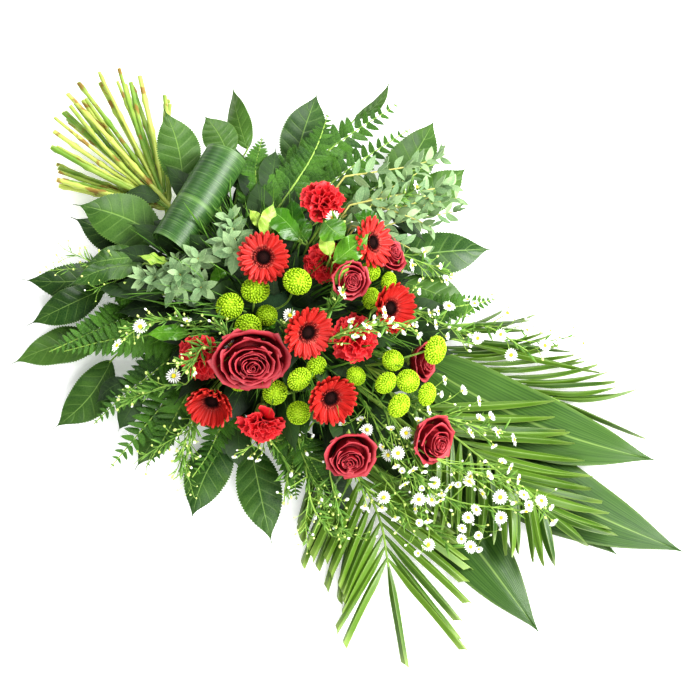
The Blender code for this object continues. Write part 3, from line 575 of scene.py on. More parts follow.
def broadShape(u, t, teeth=36, depth=0.07):
    s = np.minimum(1, t / 0.95)
    width = np.sin(math.pi * s**0.85).clip(0) ** (0.8 + 1.1 * s**6)
    width = np.maximum(width, np.where(t > 0.5, 0.035 * (1 - t) / 0.3, 0))
    notch = np.where((np.round(t * teeth * 2) % 2 > 0) & (np.abs(u) > 0.95), 1 - depth, 1)
    side = np.abs(u)
    waves = np.cos(math.tau * (t - side * veinSweep) * broad["veinPairs"])
    quilt = broad["quilt"] * waves * 2.2 * side * (1 - side)
    rib = -0.9 * np.exp(-((u / 0.16) ** 2)) * (1 - t)
    return u * width * notch, t, (quilt + rib) * mm


def smoothLeafShape(u, t):
    x, y, z = broadShape(u, t, depth=0)
    return x, y, z


def gumShape(u, t):
    width = np.sin(math.pi * t**0.85).clip(0) ** (0.66 + 0.35 * t**2)
    return u * width, t, -0.8 * mm * (1 - np.abs(u)) * np.sin(math.pi * t)


def aspidistraShape(u, t):
    width = np.sin(math.pi * t**0.75).clip(0) ** (0.65 + 0.6 * t**6)
    ripple = 0.45 * np.cos(math.pi * 7 * u) * np.sin(math.pi * t).clip(0) - 1.2 * np.exp(-((u / 0.12) ** 2))
    return u * width, t, ripple * mm


def palmShape(u, t):
    width = np.minimum(1, 0.22 + 2.6 * t) * (1 - 0.16 * t)
    pleat = np.where(np.round(np.abs(u) * 4) % 2 > 0, 0.5, 0) - 5.4 * np.abs(u)
    return u * width, t * (1 - 0.018 * u * t**8) - 0.018 * (u + 1) * t**8, pleat * mm * np.minimum(1, 3 * t)


def palmBladeShape(u, t):
    x, y, z = palmShape(u, t)
    return x * (1 - t**4) ** 0.8, t, z


def gerberaShape(u, t):
    width = 0.40 + 0.60 * np.sin(0.5 * math.pi * np.minimum(1, t / 0.66))
    width = width * np.sqrt((1 - 0.97 * t**7).clip(0))
    tip = np.where(np.abs(np.abs(u) - 0.33) < 0.1, -0.018, 0) * (t > 0.95)
    groove = 0.25 * np.cos(3 * math.pi * u) - 1.5 * u * u
    return u * width, t + tip, groove * mm


def carnationShape(u, t):
    opening = 0.14 + 0.86 * t**1.1
    rim = np.where(np.round((u + 1) * 7) % 2 > 0, -0.045, 0.015) + 0.04 * np.cos(7 * u + 1)
    ruffle = 3.6 * np.sin(4.7 * u + 0.8) + 0.9 * np.sin(11 * u + 2)
    return u * opening, t + rim * np.where(t > 0.93, 1, 0) - 0.20 * u * u * t, ruffle * mm * t**2.0


rosePetal = sheet("rose petal", "rose", 12, 14, flat)
broadLeaf = sheet("broad leaf", "broad", 10, 72, broadShape)
# The filler leaf model, in the near-black finish that paints shade.
paintedShadeLeaf = sheet("painted shade leaf", "shade", 6, 12, smoothLeafShape)
brightLeaf = sheet("bright leaf", "bright", 10, 28, smoothLeafShape)
gumLeaf = sheet("gum leaf", "gum", 4, 8, gumShape)
aspidistraLeaf = sheet("aspidistra leaf", "aspidistra", 14, 40, aspidistraShape)
palmLeaflet = sheet("palm leaflet", "palm", 8, 14, palmShape)
palmBlade = sheet("palm blade", "palm", 8, 16, palmBladeShape)
gerberaPetal = sheet("gerbera petal", "gerbera", 6, 9, gerberaShape)
carnationPetal = sheet("carnation petal", "carnation", 14, 9, carnationShape)
ringFloret = spindle("ring floret", "ring", 4, 3, width=0.13, depth=0.07, widest=0.7, curl=0.25)
discFloret = spindle("disc floret", "floret", 4, 3, width=0.30, depth=0.30, widest=0.65)
buttonFloret = spindle("button floret", "button", 4, 3, width=1, depth=0.7, widest=0.78)
fineBlade = spindle("fine blade", "blade", 3, 5, width=1, depth=0.4, widest=0.4)
whiteRay = spindle("white ray", "white", 3, 3, width=0.15, depth=0.05, widest=0.66, curl=-0.12)
pinnule = spindle("pinnule", "fern", 3, 3, width=0.36, depth=0.05, widest=0.42, curl=-0.10)
hazeLeaf = spindle("haze leaf", "haze", 3, 3, width=0.085, depth=0.03, widest=0.45, curl=0.12)
bract = spindle("bract", "calyx", 4, 3, width=0.20, depth=0.10, widest=0.4)
discHeart = globe("disc heart", "floret", 16, 8)
buttonHeart = globe("button heart", "button", 10, 6)
yellowHeart = globe("yellow heart", "yellow", 7, 4)
budBall = globe("bud ball", "bud", 5, 4)
rayTip = globe("ray tip", "white", 6, 4)
rosePip = globe("rose pip", "rose", 14, 8)
calyxBall = globe("calyx ball", "calyx", 10, 6)
bpy.ops.object.select_all(action="DESELECT")
bpy.ops.mesh.primitive_cylinder_add(vertices=10, radius=1, depth=1)
cutFace = model("cut face", "pith")
print("models of petals and leaves made")


# Where a stalk that starts at a place outside the foam goes into it.
def rootOf(place):
    x, y, z = place
    inside = Vector(
        (max(-foamHalf.x, min(foamHalf.x, x)), max(-foamHalf.y, min(foamHalf.y, y)), min(z - 5, 76))
    )
    if (inside.x, inside.y) == (x, y):
        inside.z = foamTop
    return inside


def outOf(seat, x, y, z):
    return seat @ (Vector((x, y, z)) * mm)


def ballAt(source, seat, middle, size, tint=0.0):
    place = seat @ Matrix.Translation(point(middle)) @ Matrix.Diagonal((*(Vector(size) * mm), 1))
    return copyOf(source, place, tint)


# The way out from a ring's middle at an angle.
def ringWay(angle, rise=0):
    return Vector((math.cos(angle), math.sin(angle), rise))


# The end of a stem in the foam, straight on from the point outside it.
def planted(outside, entry):
    return entry + (entry - outside).normalized() * stemDepth * mm


# The route of a stem that stands in the foam and goes on along a line outside it.
def rooted(entry, line, radius, taper=1):
    return dict(points=[planted(line[0], entry), entry] + line, radius=radius, taper=taper)


def bloomRoute(seat, spec, start, neck, radius):
    neckPoint = outOf(seat, 0, 0, -neck)
    entry = point(spec["entry"])
    return dict(
        points=[outOf(seat, 0, 0, -start), neckPoint, entry, planted(neckPoint, entry)], radius=radius,
    )


def weldAndThicken(pieces, thickness):
    return thicken(welded(joined(pieces)), thickness)


# Bracts that point out and down round a bloom's cup.
def bractRing(seat, count, radius, height, length, tilt):
    ring = []
    for index in range(count):
        angle = math.tau * index / count
        out = seat.to_3x3() @ ringWay(angle, math.tan(math.radians(tilt)))
        lean = seat.to_3x3() @ ringWay(angle, 2)
        place = outOf(seat, radius * math.cos(angle), radius * math.sin(angle), height)
        ring.append(copyOf(bract, along(place, out, lean, length * mm), 0.3 * math.sin(5 * index)))
    return ring


gerberaSettings = dict(
    radius=31, petals=28, secondRow=22, petalHalf=3.2, sheet=0.45, disc=8.6, rings=((34, 15.5), (30, 12.5)),
    florets=130,
)
gerberas = [
    dict(place=(-33, 18, 145), facing=(0.29, -0.14, 0.95), entry=(-38, 20, foamTop), cup=5),
    dict(place=(64, -27, 155), facing=(0.68, -0.15, 0.72), entry=(46, -14, foamTop), cup=8),
    dict(place=(127, -68, 134), facing=(0.63, -0.26, 0.73), entry=(110, -50, foamTop), cup=14),
    dict(place=(12, -138, 88), facing=(0.34, -0.78, 0.53), entry=(6, -55, 64), cup=19),
    dict(place=(118, 55, 142), facing=(0.66, 0.16, 0.74), entry=(92, 44, foamTop), cup=15),
    dict(place=(53, 108, 140), facing=(0.68, 0.35, 0.65), entry=(32, 55, 72), cup=7),
]


def gerbera(number, spec):
    settings = gerberaSettings
    seat = facingSeat(spec["place"], spec["facing"], spin=17 * number)
    axis = seat.to_3x3() @ up
    draw = random.Random(40 + number)
    cup = spec["cup"]
    petals = []
    rows = (
        dict(count=settings["petals"], reach=1.0, root=-0.6, rise=0.0),
        dict(count=settings["secondRow"], reach=0.88, root=1.6, rise=4.2),
    )
    for level, row in enumerate(rows):
        for index in range(row["count"]):
            angle = math.tau * (index + 0.5 * level + 0.22 * (draw.random() - 0.5)) / row["count"]
            turn = angle + 0.05 * (draw.random() - 0.5)
            reach = (settings["radius"] - max(0, cup - 10) * 0.45) * row["reach"]
            reach *= 0.95 + 0.05 * draw.random()
            lift = row["rise"] + cup * (0.9 + 0.2 * draw.random()) + (1.7 if index % 2 else -1.7)
            base = outOf(seat, 5.5 * math.cos(angle), 5.5 * math.sin(angle), row["root"])
            tip = outOf(seat, reach * math.cos(turn), reach * math.sin(turn), lift)
            petals.append(lay(
                gerberaPetal, base, tip, settings["petalHalf"], arch=1.4 - 0.22 * cup,
                roll=12 * (draw.random() - 0.5),
                lean=axis, fold=0, tint=draw.uniform(-0.6, 0.6), bow=draw.uniform(-0.6, 0.6),
            ))
    bloom = weldAndThicken(petals, settings["sheet"])
    cupBall = ballAt(calyxBall, seat, (0, 0, -3.6), (8.2, 8.2, 5.4))
    ring = bractRing(seat, 16, 6.0, -5.5, 8, 18) + bractRing(seat, 14, 4.0, -7.5, 7, -8)
    stem = stalks([bloomRoute(seat, spec, 6, 24, 2.2)], "stalk", sides=2)
    settle(
        joined([bloom, cupBall, stem] + ring), f"gerberaBloom{number}", "gerbera_petal",
        f"gerbera_{number}",
    )
    gerberaHeart(number, seat, draw)


# The dark middle: rings of short pale-tipped florets round a domed black disc.
def gerberaHeart(number, seat, draw):
    settings = gerberaSettings
    pieces = [ballAt(discHeart, seat, (0, 0, 2.2), (settings["disc"] * 0.92, settings["disc"] * 0.92, 3.6))]
    for level, (count, reach) in enumerate(settings["rings"]):
        for index in range(count):
            angle = math.tau * (index + 0.5 * level + 0.3 * draw.random()) / count
            out = ringWay(angle)
            length = (reach - 6.2) * draw.uniform(0.85, 1.1)
            direction = seat.to_3x3() @ (out + Vector((0, 0, 0.18 + 0.30 * level)))
            place = seat @ ((out * 6.0 + Vector((0, 0, 2.6 + 0.9 * level))) * mm)
            pieces.append(copyOf(
                ringFloret, along(place, direction, seat.to_3x3() @ up, length * mm, draw.uniform(-25, 25)),
                draw.uniform(-1, 1),
            ))
    for index in range(settings["florets"]):
        share = (index + 0.5) / settings["florets"]
        radius = 7.6 * math.sqrt(share)
        angle = index * goldenAngle
        height = 2.2 + 3.3 * math.sqrt(max(0, 1 - (radius / 8.4) ** 2))
        out = ringWay(angle)
        place = seat @ ((out * radius + Vector((0, 0, height - 0.4))) * mm)
        direction = seat.to_3x3() @ (out * radius * 0.09 + up)
        length = (1.3 + 1.1 * share) * mm
        lean = seat.to_3x3() @ Vector((1, 0, 0))
        pieces.append(copyOf(discFloret, along(place, direction, lean, length), 0.5 * share))
    settle(joined(pieces), f"gerberaHeart{number}", "gerbera_disc", f"gerbera_disc_{number}", smooth=60)


for number, spec in enumerate(gerberas, 1):
    gerbera(number, spec)
print("gerberas made")

frameUp = Vector((-0.564, 0.752, 0.342))  # upwards in the photo
roseSettings = dict(sheet=0.5, inner=9, outer=((3, 0.42), (4, 0.60), (5, 0.80)), fold=0.5)
fullRose = ((3, 0.38), (4, 0.50), (5, 0.66), (5, 0.83))
roses = [
    dict(
        place=(36, -92, 150), facing=(0.52, -0.44, 0.72), entry=(24, -44, foamTop), size=46,
        swirl=(8, -6, 0), press=0.84, outer=fullRose,
    ),
    dict(place=(185, -102, 98), facing=(0.6, -0.5, 0.65), entry=(115, -42, 68), size=33, swirl=(2, -7, 0)),
    dict(place=(250, -26, 98), facing=(0.75, 0, 0.6), entry=(115, -20, 66), size=31, swirl=(8, -3, 0)),
    dict(place=(69, 54, 156), facing=(0.58, -0.06, 0.8), entry=(50, 38, foamTop), size=24),
    dict(place=(187, 45, 95), facing=(0.85, 0.3, 0.45), entry=(115, 20, 73), size=24),
    dict(place=(78, 124, 120), facing=(0.5, 0.5, 0.75), entry=(24, 55, 66), size=24),
]


# Each petal of a rose: how far out its fold lies, how far round it is, how wide and how high.
def rosePetals(outer):
    inner = roseSettings["inner"]
    petals = []
    for index in range(inner):
        share = index / inner
        petals.append(
            dict(reach=0.05 + 0.34 * share**0.9, turn=index * goldenAngle, spread=140 - 70 * share, top=0.97)
        )
    for level, (count, reach) in enumerate(outer):
        for index in range(count):
            turn = math.tau * (index + 0.5 * level) / count
            out = reach + 0.02 * (index % 2)
            petals.append(dict(reach=out, turn=turn, spread=225 / count + 8, top=0.97 - 0.62 * reach**2.6))
    return petals


def rose(number, spec):
    seat = facingSeat(spec["place"], spec["facing"], spin=40 * number)
    draw = random.Random(70 + number)
    size = spec["size"]
    depth = 0.95 * size
    middle = point(spec["place"])
    squeeze = Matrix.Scale(spec.get("press", 1), 4, frameUp)
    press = Matrix.Translation(middle) @ squeeze @ Matrix.Translation(-middle)
    swirl = seat.to_3x3().inverted() @ Vector(spec.get("swirl", (0, 0, 0)))
    u, t, _ = pointsOf(rosePetal).T
    fold = roseSettings["fold"]
    body = np.minimum(1, t / fold)
    rim = ((t - fold) / (1 - fold)).clip(0)
    petals = []
    for row in rosePetals(spec.get("outer", roseSettings["outer"])):
        out = row["reach"]
        reach = size * out * draw.uniform(0.93, 1.05)
        top = depth * (row["top"] - 1) + draw.uniform(-0.035, 0.03) * size
        root = -depth - 5 * out
        phase = draw.uniform(0, 6)
        spread = math.radians(row["spread"]) * (0.5 + 0.5 * np.minimum(1, 2.2 * t))
        angle = row["turn"] + draw.uniform(-0.15, 0.15) + u * spread * (1 - 0.22 * out * rim)
        roll = size * (0.010 + 0.15 * out**1.4) * (0.55 + 0.85 * np.exp(-np.abs(u) / 0.32))
        turn = rim * math.radians(50 + 105 * out) * (0.74 + 0.2 * np.abs(u)) * draw.uniform(0.75, 1.1)
        radius = 1.0 + (reach - 1.0) * np.sin(body * math.pi / 2) ** 0.75 + roll * (1 - np.cos(turn))
        ruffle = 0.024 * np.sin(4 * u + phase) + 0.013 * np.sin(9 * u + 2 * phase)
        radius = radius + size * (0.02 + 0.07 * out) * np.abs(u) ** 3 * t**2 + size * t**2 * ruffle
        height = root + (top - root) * body * (1 - 0.10 * out * np.abs(u) ** 2.2) + roll * np.sin(turn)
        points = np.stack([radius * np.cos(angle), radius * np.sin(angle), height], axis=1)
        points += np.outer(body * (1 - out), np.array(swirl))
        # Inner petals are tinted darker: painted shade deep in the bloom.
        petal = copyOf(rosePetal, tint=draw.uniform(-0.5, 0.5) - 0.8 * (1 - out) ** 3)
        setPoints(petal, points * mm)
        petal.data.transform(press @ seat)
        petals.append(petal)
    # A dark pip fills the middle: painted shade at the bloom's heart.
    heart = ballAt(rosePip, seat, (0, 0, -0.62 * depth), (0.5 * size, 0.5 * size, 0.34 * depth), -3)
    bloom = weldAndThicken(petals, roseSettings["sheet"])
    hip = ballAt(calyxBall, seat, (0, 0, -depth - 3), (5, 5, 6.5))
    sepals = bractRing(seat, 5, 3.5, -depth - 1, 0.62 * size, 12)
    stem = stalks([bloomRoute(seat, spec, depth + 4, depth + 14, 2.6)], "stalk", sides=2)
    settle(joined([bloom, heart, hip, stem] + sepals), f"roseBloom{number}", "rose_petal", f"rose_{number}")


for number, spec in enumerate(roses, 1):
    rose(number, spec)
print("roses made")

carnationSettings = dict(petals=28, sheet=0.4)
carnations = [
    dict(place=(-29, 127, 118), facing=(0, 0.2, 1), entry=(-28, 55, 68), size=30),
    dict(place=(22, 63, 124), facing=(0.15, -0.2, 1), entry=(9, 55, 66), size=27),
    dict(place=(76, -130, 82), facing=(0.58, -0.78, 0.22), entry=(52, -55, 66), size=31, calyx=1.55),
    dict(place=(-26, -113, 108), facing=(0, -0.65, 0.75), entry=(-24, -55, 68), size=30),
    dict(place=(106, 8, 126), facing=(0.3, -0.2, 0.9), entry=(88, 12, foamTop), size=30),
]


def carnation(number, spec):
    seat = facingSeat(spec["place"], spec["facing"], spin=25 * number)
    axis = seat.to_3x3() @ up
    draw = random.Random(90 + number)
    size = spec["size"]
    count = carnationSettings["petals"]
    petals = []
    for index in range(count):
        share = (index + 0.6) / count
        angle = index * goldenAngle
        out = ringWay(angle)
        reach = size * (0.10 + 0.86 * share**0.62) * draw.uniform(0.92, 1.0)
        height = 9.5 - 15 * share**1.7 + draw.uniform(-1.5, 1.5)
        base = seat @ ((out * 2.0 + Vector((0, 0, -13 + 3 * (1 - share)))) * mm)
        tip = seat @ ((out * reach + Vector((0, 0, height))) * mm)
        half = size * (0.36 + 0.30 * share) * draw.uniform(0.85, 1.1)
        petals.append(lay(
            carnationPetal, base, tip, half, arch=3.2 * share, roll=draw.uniform(-28, 28), lean=axis,
            twist=draw.uniform(-30, 30), wave=draw.uniform(0.8, 2.2), phase=draw.random(), fold=-0.05,
            tint=draw.uniform(-0.9, 0.9), bow=draw.uniform(-1.5, 1.5),
        ))
    bloom = weldAndThicken(petals, carnationSettings["sheet"])
    fat = spec.get("calyx", 1)
    calyx = [
        ballAt(calyxBall, seat, (0, 0, -20), (5.6 * fat, 5.6 * fat, 10)),
        ballAt(calyxBall, seat, (0, 0, -27), (4.2 * fat, 4.2 * fat, 6)),
    ]
    sepals = bractRing(seat, 5, 4.4 * fat, -17, 9, 60) + bractRing(seat, 4, 3.4, -28, 6, 55)
    stem = stalks([bloomRoute(seat, spec, 26, 40, 1.9)], "stalk", sides=2)
    settle(
        joined([bloom, stem] + calyx + sepals), f"carnationBloom{number}", "carnation_petal",
        f"carnation_{number}",
    )


for number, spec in enumerate(carnations, 1):
    carnation(number, spec)
print("carnations made")

buttonSettings = dict(florets=165, flatTop=0.60, flatUnder=0.55, floretHalf=0.118, length=0.34)
buttonSprays = [
    dict(
        entry=(-14, -32, foamTop), fork=(-13, -31, 97),
        heads=[
            dict(place=(-21, -13, 125), size=17), dict(place=(-34, -45, 119), size=17),
            dict(place=(4, -25, 108), size=13), dict(place=(0, -54, 124), size=16),
            dict(place=(18, 16, 152), size=17, knee=(11, -2, 104)),
        ],
    ),
    dict(
        entry=(76, -55, 70), fork=(80, -76, 84),
        heads=[
            dict(place=(26, -104, 98), size=13), dict(place=(68, -93, 105), size=15),
            dict(place=(104, -96, 104), size=14),
            dict(place=(84, -68, 122), size=15, facing=(0.83, -0.27, 0.49)),
            dict(place=(88, -42, 110), size=14, facing=(0.84, -0.13, 0.52)),
            dict(place=(130, -22, 106), size=12),
        ],
    ),
    dict(
        entry=(74, 45, foamTop), fork=(78, 62, 98),
        heads=[
            dict(place=(70, 84, 124), size=13), dict(place=(93, 90, 116), size=12, facing=(0.85, 0.13, 0.52)),
            dict(place=(90, 60, 120), size=13, facing=(0.85, 0.13, 0.52)),
        ],
    ),
    dict(
        entry=(106, -10, foamTop), fork=(132, -2, 98),
        heads=[
            dict(place=(156, 13, 124), size=13),
            dict(place=(188, 50, 130), size=17, facing=(0.85, 0.13, 0.52)),
            dict(place=(184, 4, 122), size=14),
            dict(place=(166, -14, 126), size=14, facing=(0.83, -0.27, 0.49)),
            dict(place=(192, -24, 116), size=15, facing=(0.84, -0.13, 0.52)),
            dict(place=(208, 8, 108), size=14, facing=(0.85, 0.13, 0.52)),
        ],
    ),
]


# One button head of radius 1: a dome packed with blunt florets, over a heart tinted darker as painted shade
# in the gaps between them.
def buttonModel(draw):
    settings = buttonSettings
    pieces = [copyOf(buttonHeart, Matrix.Diagonal((0.80, 0.80, 0.48, 1)), -1.5)]
    for index in range(settings["florets"]):
        share = (index + 0.5) / settings["florets"]
        polar = math.acos(1 - 1.42 * share)
        angle = index * goldenAngle
        out = Vector((math.sin(polar) * math.cos(angle), math.sin(polar) * math.sin(angle), math.cos(polar)))
        flatten = settings["flatTop"] if out.z > 0 else settings["flatUnder"]
        surface = Vector((out.x, out.y, out.z * flatten))
        length = settings["length"] * draw.uniform(0.8, 1.2)
        direction = Vector((out.x, out.y, out.z / flatten)).normalized()
        direction = (direction + Vector([draw.uniform(-0.42, 0.42) for _ in range(3)])).normalized()
        lean = Vector((-math.sin(angle), math.cos(angle), 0.01))
        width = settings["floretHalf"] * draw.uniform(0.85, 1.1)
        place = along(surface - direction * length, direction, lean)
        place = place @ Matrix.Diagonal((width, length, width, 1))
        pieces.append(copyOf(buttonFloret, place, draw.uniform(-0.9, 0.9)))
    return joined(pieces, "button")


buttonHead = buttonModel(random.Random(3))


def buttonSpray(number, spec):
    draw = random.Random(120 + number)
    fork = point(spec["fork"])
    entry = point(spec["entry"])
    routes = [rooted(entry, [fork], 1.8)]
    pieces = []
    for head in spec["heads"]:
        centre = point(head["place"])
        facing = Vector(head["facing"]) if "facing" in head else (centre - fork).normalized() * 0.45 + up
        seat = facingSeat(head["place"], facing, spin=draw.uniform(0, 360))
        below = outOf(seat, 0, 0, -0.3 * head["size"])
        route = [fork - (fork - entry).normalized() * 3 * mm, below]
        if "knee" in head:
            route.insert(1, point(head["knee"]))
        else:
            route.insert(1, route[0].lerp(below, 0.55) + (fork - entry).normalized() * 5 * mm)
        routes.append(dict(points=smoothRoute(route), radius=1.3))
        pieces.append(
            copyOf(buttonHead, seat @ Matrix.Scale(head["size"] * mm, 4), draw.uniform(-0.25, 0.25))
        )
        pieces += bractRing(seat, 12, 0.22 * head["size"], -0.36 * head["size"], 0.5 * head["size"], 14)
    settle(
        joined([stalks(routes, "stalk")] + pieces), f"buttonSpray{number}", "santini",
        f"santini_spray_{number}",
    )


for number, spec in enumerate(buttonSprays, 1):
    buttonSpray(number, spec)
print("buttons made")


# One leaf of a twig: its base, its tip, half its width and how far it arches.
def leafRow(base, tip, half, arch, **rest):
    return dict(base=base, tip=tip, half=half, arch=arch, **rest)


leafTwigs = [
    dict(entry=(-115, -20, 46), knee=(-158, -18, 52), leaves=[
        leafRow((-168, -8, 62), (-280, -40, 66), 34, 10, bow=7),
        leafRow((-170, -30, 46), (-284, -46, 34), 24, 8),
    ]),
    dict(entry=(-115, -42, 28), knee=(-165, -68, 30), leaves=[
        leafRow((-186, -56, 26), (-290, -140, 10), 26, 8, bow=-8),
        leafRow((-192, -94, 34), (-242, -182, 16), 23, 8),
        leafRow((-176, -50, 44), (-226, -124, 48), 20, 6, roll=35),
    ]),
    dict(entry=(-84, -55, 28), knee=(-124, -112, 28), leaves=[
        leafRow((-154, -140, 22), (-230, -232, 7), 24, 5, bow=8),
        leafRow((-130, -158, 26), (-138, -264, 6), 26, 8, bow=-14),
    ]),
    dict(entry=(-30, -55, 26), knee=(-30, -120, 26), leaves=[
        leafRow((-34, -150, 24), (-28, -244, 6), 22, 8),
    ]),
    dict(entry=(56, -55, 28), knee=(54, -120, 28), leaves=[
        leafRow((40, -150, 26), (64, -254, 6), 27, 8, bow=8),
        leafRow((66, -142, 26), (158, -220, 6), 27, 8),
    ]),
    dict(entry=(-115, 46, 56), knee=(-146, 70, 56), leaves=[
        leafRow((-186, 56, 72), (-272, 124, 72), 27, 6, bow=4),
        leafRow((-168, 122, 62), (-232, 150, 58), 22, 6),
        leafRow((-160, 146, 58), (-228, 204, 60), 17, 4, twist=70),
    ]),
    dict(entry=(-58, 55, 34), knee=(-84, 126, 38), leaves=[
        leafRow((-104, 160, 42), (-146, 270, 36), 28, 8),
        leafRow((-84, 262, 44), (-80, 330, 50), 9, 4, twist=50, bow=9),
    ]),
    dict(entry=(12, 55, 30), knee=(14, 150, 34), leaves=[
        leafRow((2, 200, 36), (-12, 334, 22), 29, 10, bow=6),
        leafRow((32, 200, 28), (58, 308, 12), 26, 8),
    ]),
    dict(entry=(72, 55, 36), knee=(70, 120, 38), leaves=[
        leafRow((60, 140, 42), (150, 236, 16), 30, 10),
        leafRow((84, 128, 30), (182, 154, 12), 24, 6),
    ]),
]
brightTwig = dict(entry=(-6, 44, foamTop), knee=(-10, 71, 112), leaves=[
    leafRow((-14, 74, 114), (-54, 90, 104), 17, 5),
    leafRow((-30, 66, 118), (-78, 66, 112), 12, 4, roll=-30),
    leafRow((0, 92, 158), (38, 84, 172), 17, 4),
])


# A twig: toothed leaves on stalks that leave one knee.
def leafTwig(name, slot, node, spec, source, draw, wave=1.5):
    entry = point(spec["entry"])
    knee = point(spec["knee"])
    routes = [rooted(entry, [knee], 1.6)]
    leaves = []
    for leaf in spec["leaves"]:
        base = point(leaf["base"])
        tip = point(leaf["tip"])
        leaves.append(lay(
            source, base, tip, leaf["half"], arch=leaf.get("arch", 0), roll=leaf.get("roll", 0),
            twist=leaf.get("twist", 0), wave=wave * draw.uniform(0.6, 1.5), phase=draw.random(),
            tint=draw.uniform(-0.8, 0.8), bow=leaf.get("bow", 0) + draw.uniform(-4, 4),
        ))
        inward = base.lerp(knee, 0.3) + up * 1.5 * mm
        routes.append(
            dict(points=smoothRoute([knee, inward, base, base.lerp(tip, 0.05)]), radius=1.3, taper=0.7)
        )
    pieces = [weldAndThicken(leaves, broad["sheet"]), stalks(routes, "stalk")]
    return settle(joined(pieces), name, slot, node)


draw = random.Random(7)
for number, spec in enumerate(leafTwigs, 1):
    leafTwig(f"leafTwig{number}", "broad_leaf", f"broad_leaf_twig_{number}", spec, broadLeaf, draw)
leafTwig("brightTwig", "bright_leaf", "bright_leaf_twig", brightTwig, brightLeaf, draw, wave=2.2)
limeLeaf = sheet("lime leaf", "lime", 10, 28, smoothLeafShape)
glossyDark = sheet("glossy leaf", "glossy", 10, 28, smoothLeafShape)
glossyLeaves = [
    leafRow((-20, 70, 118), (-79, 75, 126), 19, 6, roll=20, source=glossyDark),
    leafRow((-29, 73, 110), (-61, 108, 120), 14, 6, roll=-30, source=glossyDark),
    leafRow((37, 61, 150), (51, 113, 160), 15, 5, roll=15),
    leafRow((28, 64, 150), (7, 85, 160), 9, 3, roll=-10, source=limeLeaf),
    leafRow((54, 39, 150), (55, 70, 160), 6, 2, roll=40, source=limeLeaf),
    leafRow((-56, 45, 124), (-70, 86, 132), 10, 4, roll=25, source=limeLeaf),
    leafRow((-62, 53, 126), (-88, 61, 130), 7, 3, roll=-20, source=limeLeaf),
    leafRow((-48, -110, 100), (-22, -72, 104), 14, 5, roll=-10, source=glossyDark),
    leafRow((-57, -92, 96), (-99, -126, 94), 10, 4),
    leafRow((-131, -39, 100), (-165, -54, 98), 9, 3, roll=30, source=limeLeaf),
    leafRow((-49, -35, 96), (-85, -7, 104), 13, 5, roll=20),
    leafRow((43, 141, 120), (11, 129, 128), 13, 4, source=glossyDark),
    leafRow((8, -21, 98), (10, -42, 100), 10, 3, source=glossyDark),
    leafRow((-157, -54, 84), (-212, -129, 80), 17, 8, roll=35, twist=50, source=broadLeaf, slot="broad_leaf"),
    leafRow(
        (-166, -47, 80), (-218, -99, 76), 19, 8, roll=-12, twist=-35, source=broadLeaf, slot="broad_leaf",
    ),
]


# Single glossy leaves among the blooms, each on a stalk that bends up out of the foam.
def glossyLeaf(number, spec):
    base = point(spec["base"])
    tip = point(spec["tip"])
    entry = point(rootOf((spec["base"][0] * 0.9, spec["base"][1] * 0.8, 80)))
    leaf = lay(
        spec.get("source", brightLeaf), base, tip, spec["half"], arch=spec["arch"], roll=spec.get("roll", 0),
        twist=spec.get("twist", 0), wave=2.4, phase=0.37 * number, tint=math.sin(2.1 * number) * 0.5,
        bow=2 * math.sin(number),
    )
    way = (tip - base).normalized()
    knee = entry.lerp(base, 0.6) + up * 6 * mm
    route = smoothRoute([entry, knee, base - way * 3 * mm, base + way * 2 * mm])
    stem = stalks([dict(points=[planted(knee, entry)] + route, radius=1.2)], "stalk")
    settle(
        joined([weldAndThicken([leaf], broad["sheet"]), stem]), f"glossyLeaf{number}",
        spec.get("slot", "bright_leaf"),
    )


for number, spec in enumerate(glossyLeaves, 1):
    glossyLeaf(number, spec)
print("broad leaves made")

aspidistraSettings = dict(sheet=0.7)
aspidistras = [
    dict(entry=(115, 14, 26), base=(172, 22, 30), tip=(543, 60, 10), half=49, arch=6, bow=20),
    dict(entry=(115, 38, 34), base=(160, 56, 38), tip=(456, 127, 26), half=42, arch=4, bow=14),
    dict(entry=(115, -36, 26), base=(165, -34, 22), tip=(463, -117, 6), half=43, arch=2, bow=-2),
    dict(entry=(115, -10, 22), base=(175, -2, 16), tip=(484, 12, 6), half=34, arch=2),
]


for number, spec in enumerate(aspidistras, 1):
    entry = point(spec["entry"])
    base = point(spec["base"])
    leaf = lay(
        aspidistraLeaf, base, point(spec["tip"]), spec["half"], arch=spec["arch"], wave=1.6,
        phase=draw.random(),
        tint=draw.uniform(-0.6, 0.6), bow=spec.get("bow", 0) + draw.uniform(-5, 5),
    )
    stem = stalks([rooted(entry, [base, base.lerp(point(spec["tip"]), 0.01)], 1.6)], "stalk")
    piece = joined([weldAndThicken([leaf], aspidistraSettings["sheet"]), stem])
    settle(piece, f"aspidistraLeaf{number}", "aspidistra_leaf", f"aspidistra_{number}")
print("aspidistra leaves made")

palmSettings = dict(sheet=0.5, lastPair=0.985)
palms = [
    dict(entry=(115, -47, 42), spine=[(150, -78, 42), (235, -120, 30), (281, -161, 20)],
         left=dict(angles=(28, 30), lengths=(150, 145)), right=dict(angles=(58, 36), lengths=(118, 112)),
         end=117, drop=(20, 12), count=11, half=4.8, sway=0, trimmed=True, loose=0.3, tone=0.8),
    dict(entry=(115, 0, 46), spine=[(190, 2, 56), (245, 2, 54), (392, -4, 42)],
         left=dict(angles=(38, 20), lengths=(182, 92)), right=dict(angles=(57, 40), lengths=(140, 75)),
         end=62, drop=(14, 8), count=15, half=6.4, sway=2),
    dict(entry=(98, 55, 30), spine=[(132, 76, 28), (168, 86, 24), (323, 123, 14)],
         left=dict(angles=(36, 28), lengths=(150, 105)), right=dict(angles=(24, 24), lengths=(110, 100)),
         end=112, drop=(8, 6), count=15, half=3.6, sway=6),
]


def flatTurn(forward, angle):
    level = Vector((forward.x, forward.y, 0)).normalized()
    return Matrix.Rotation(math.radians(angle), 3, up) @ level


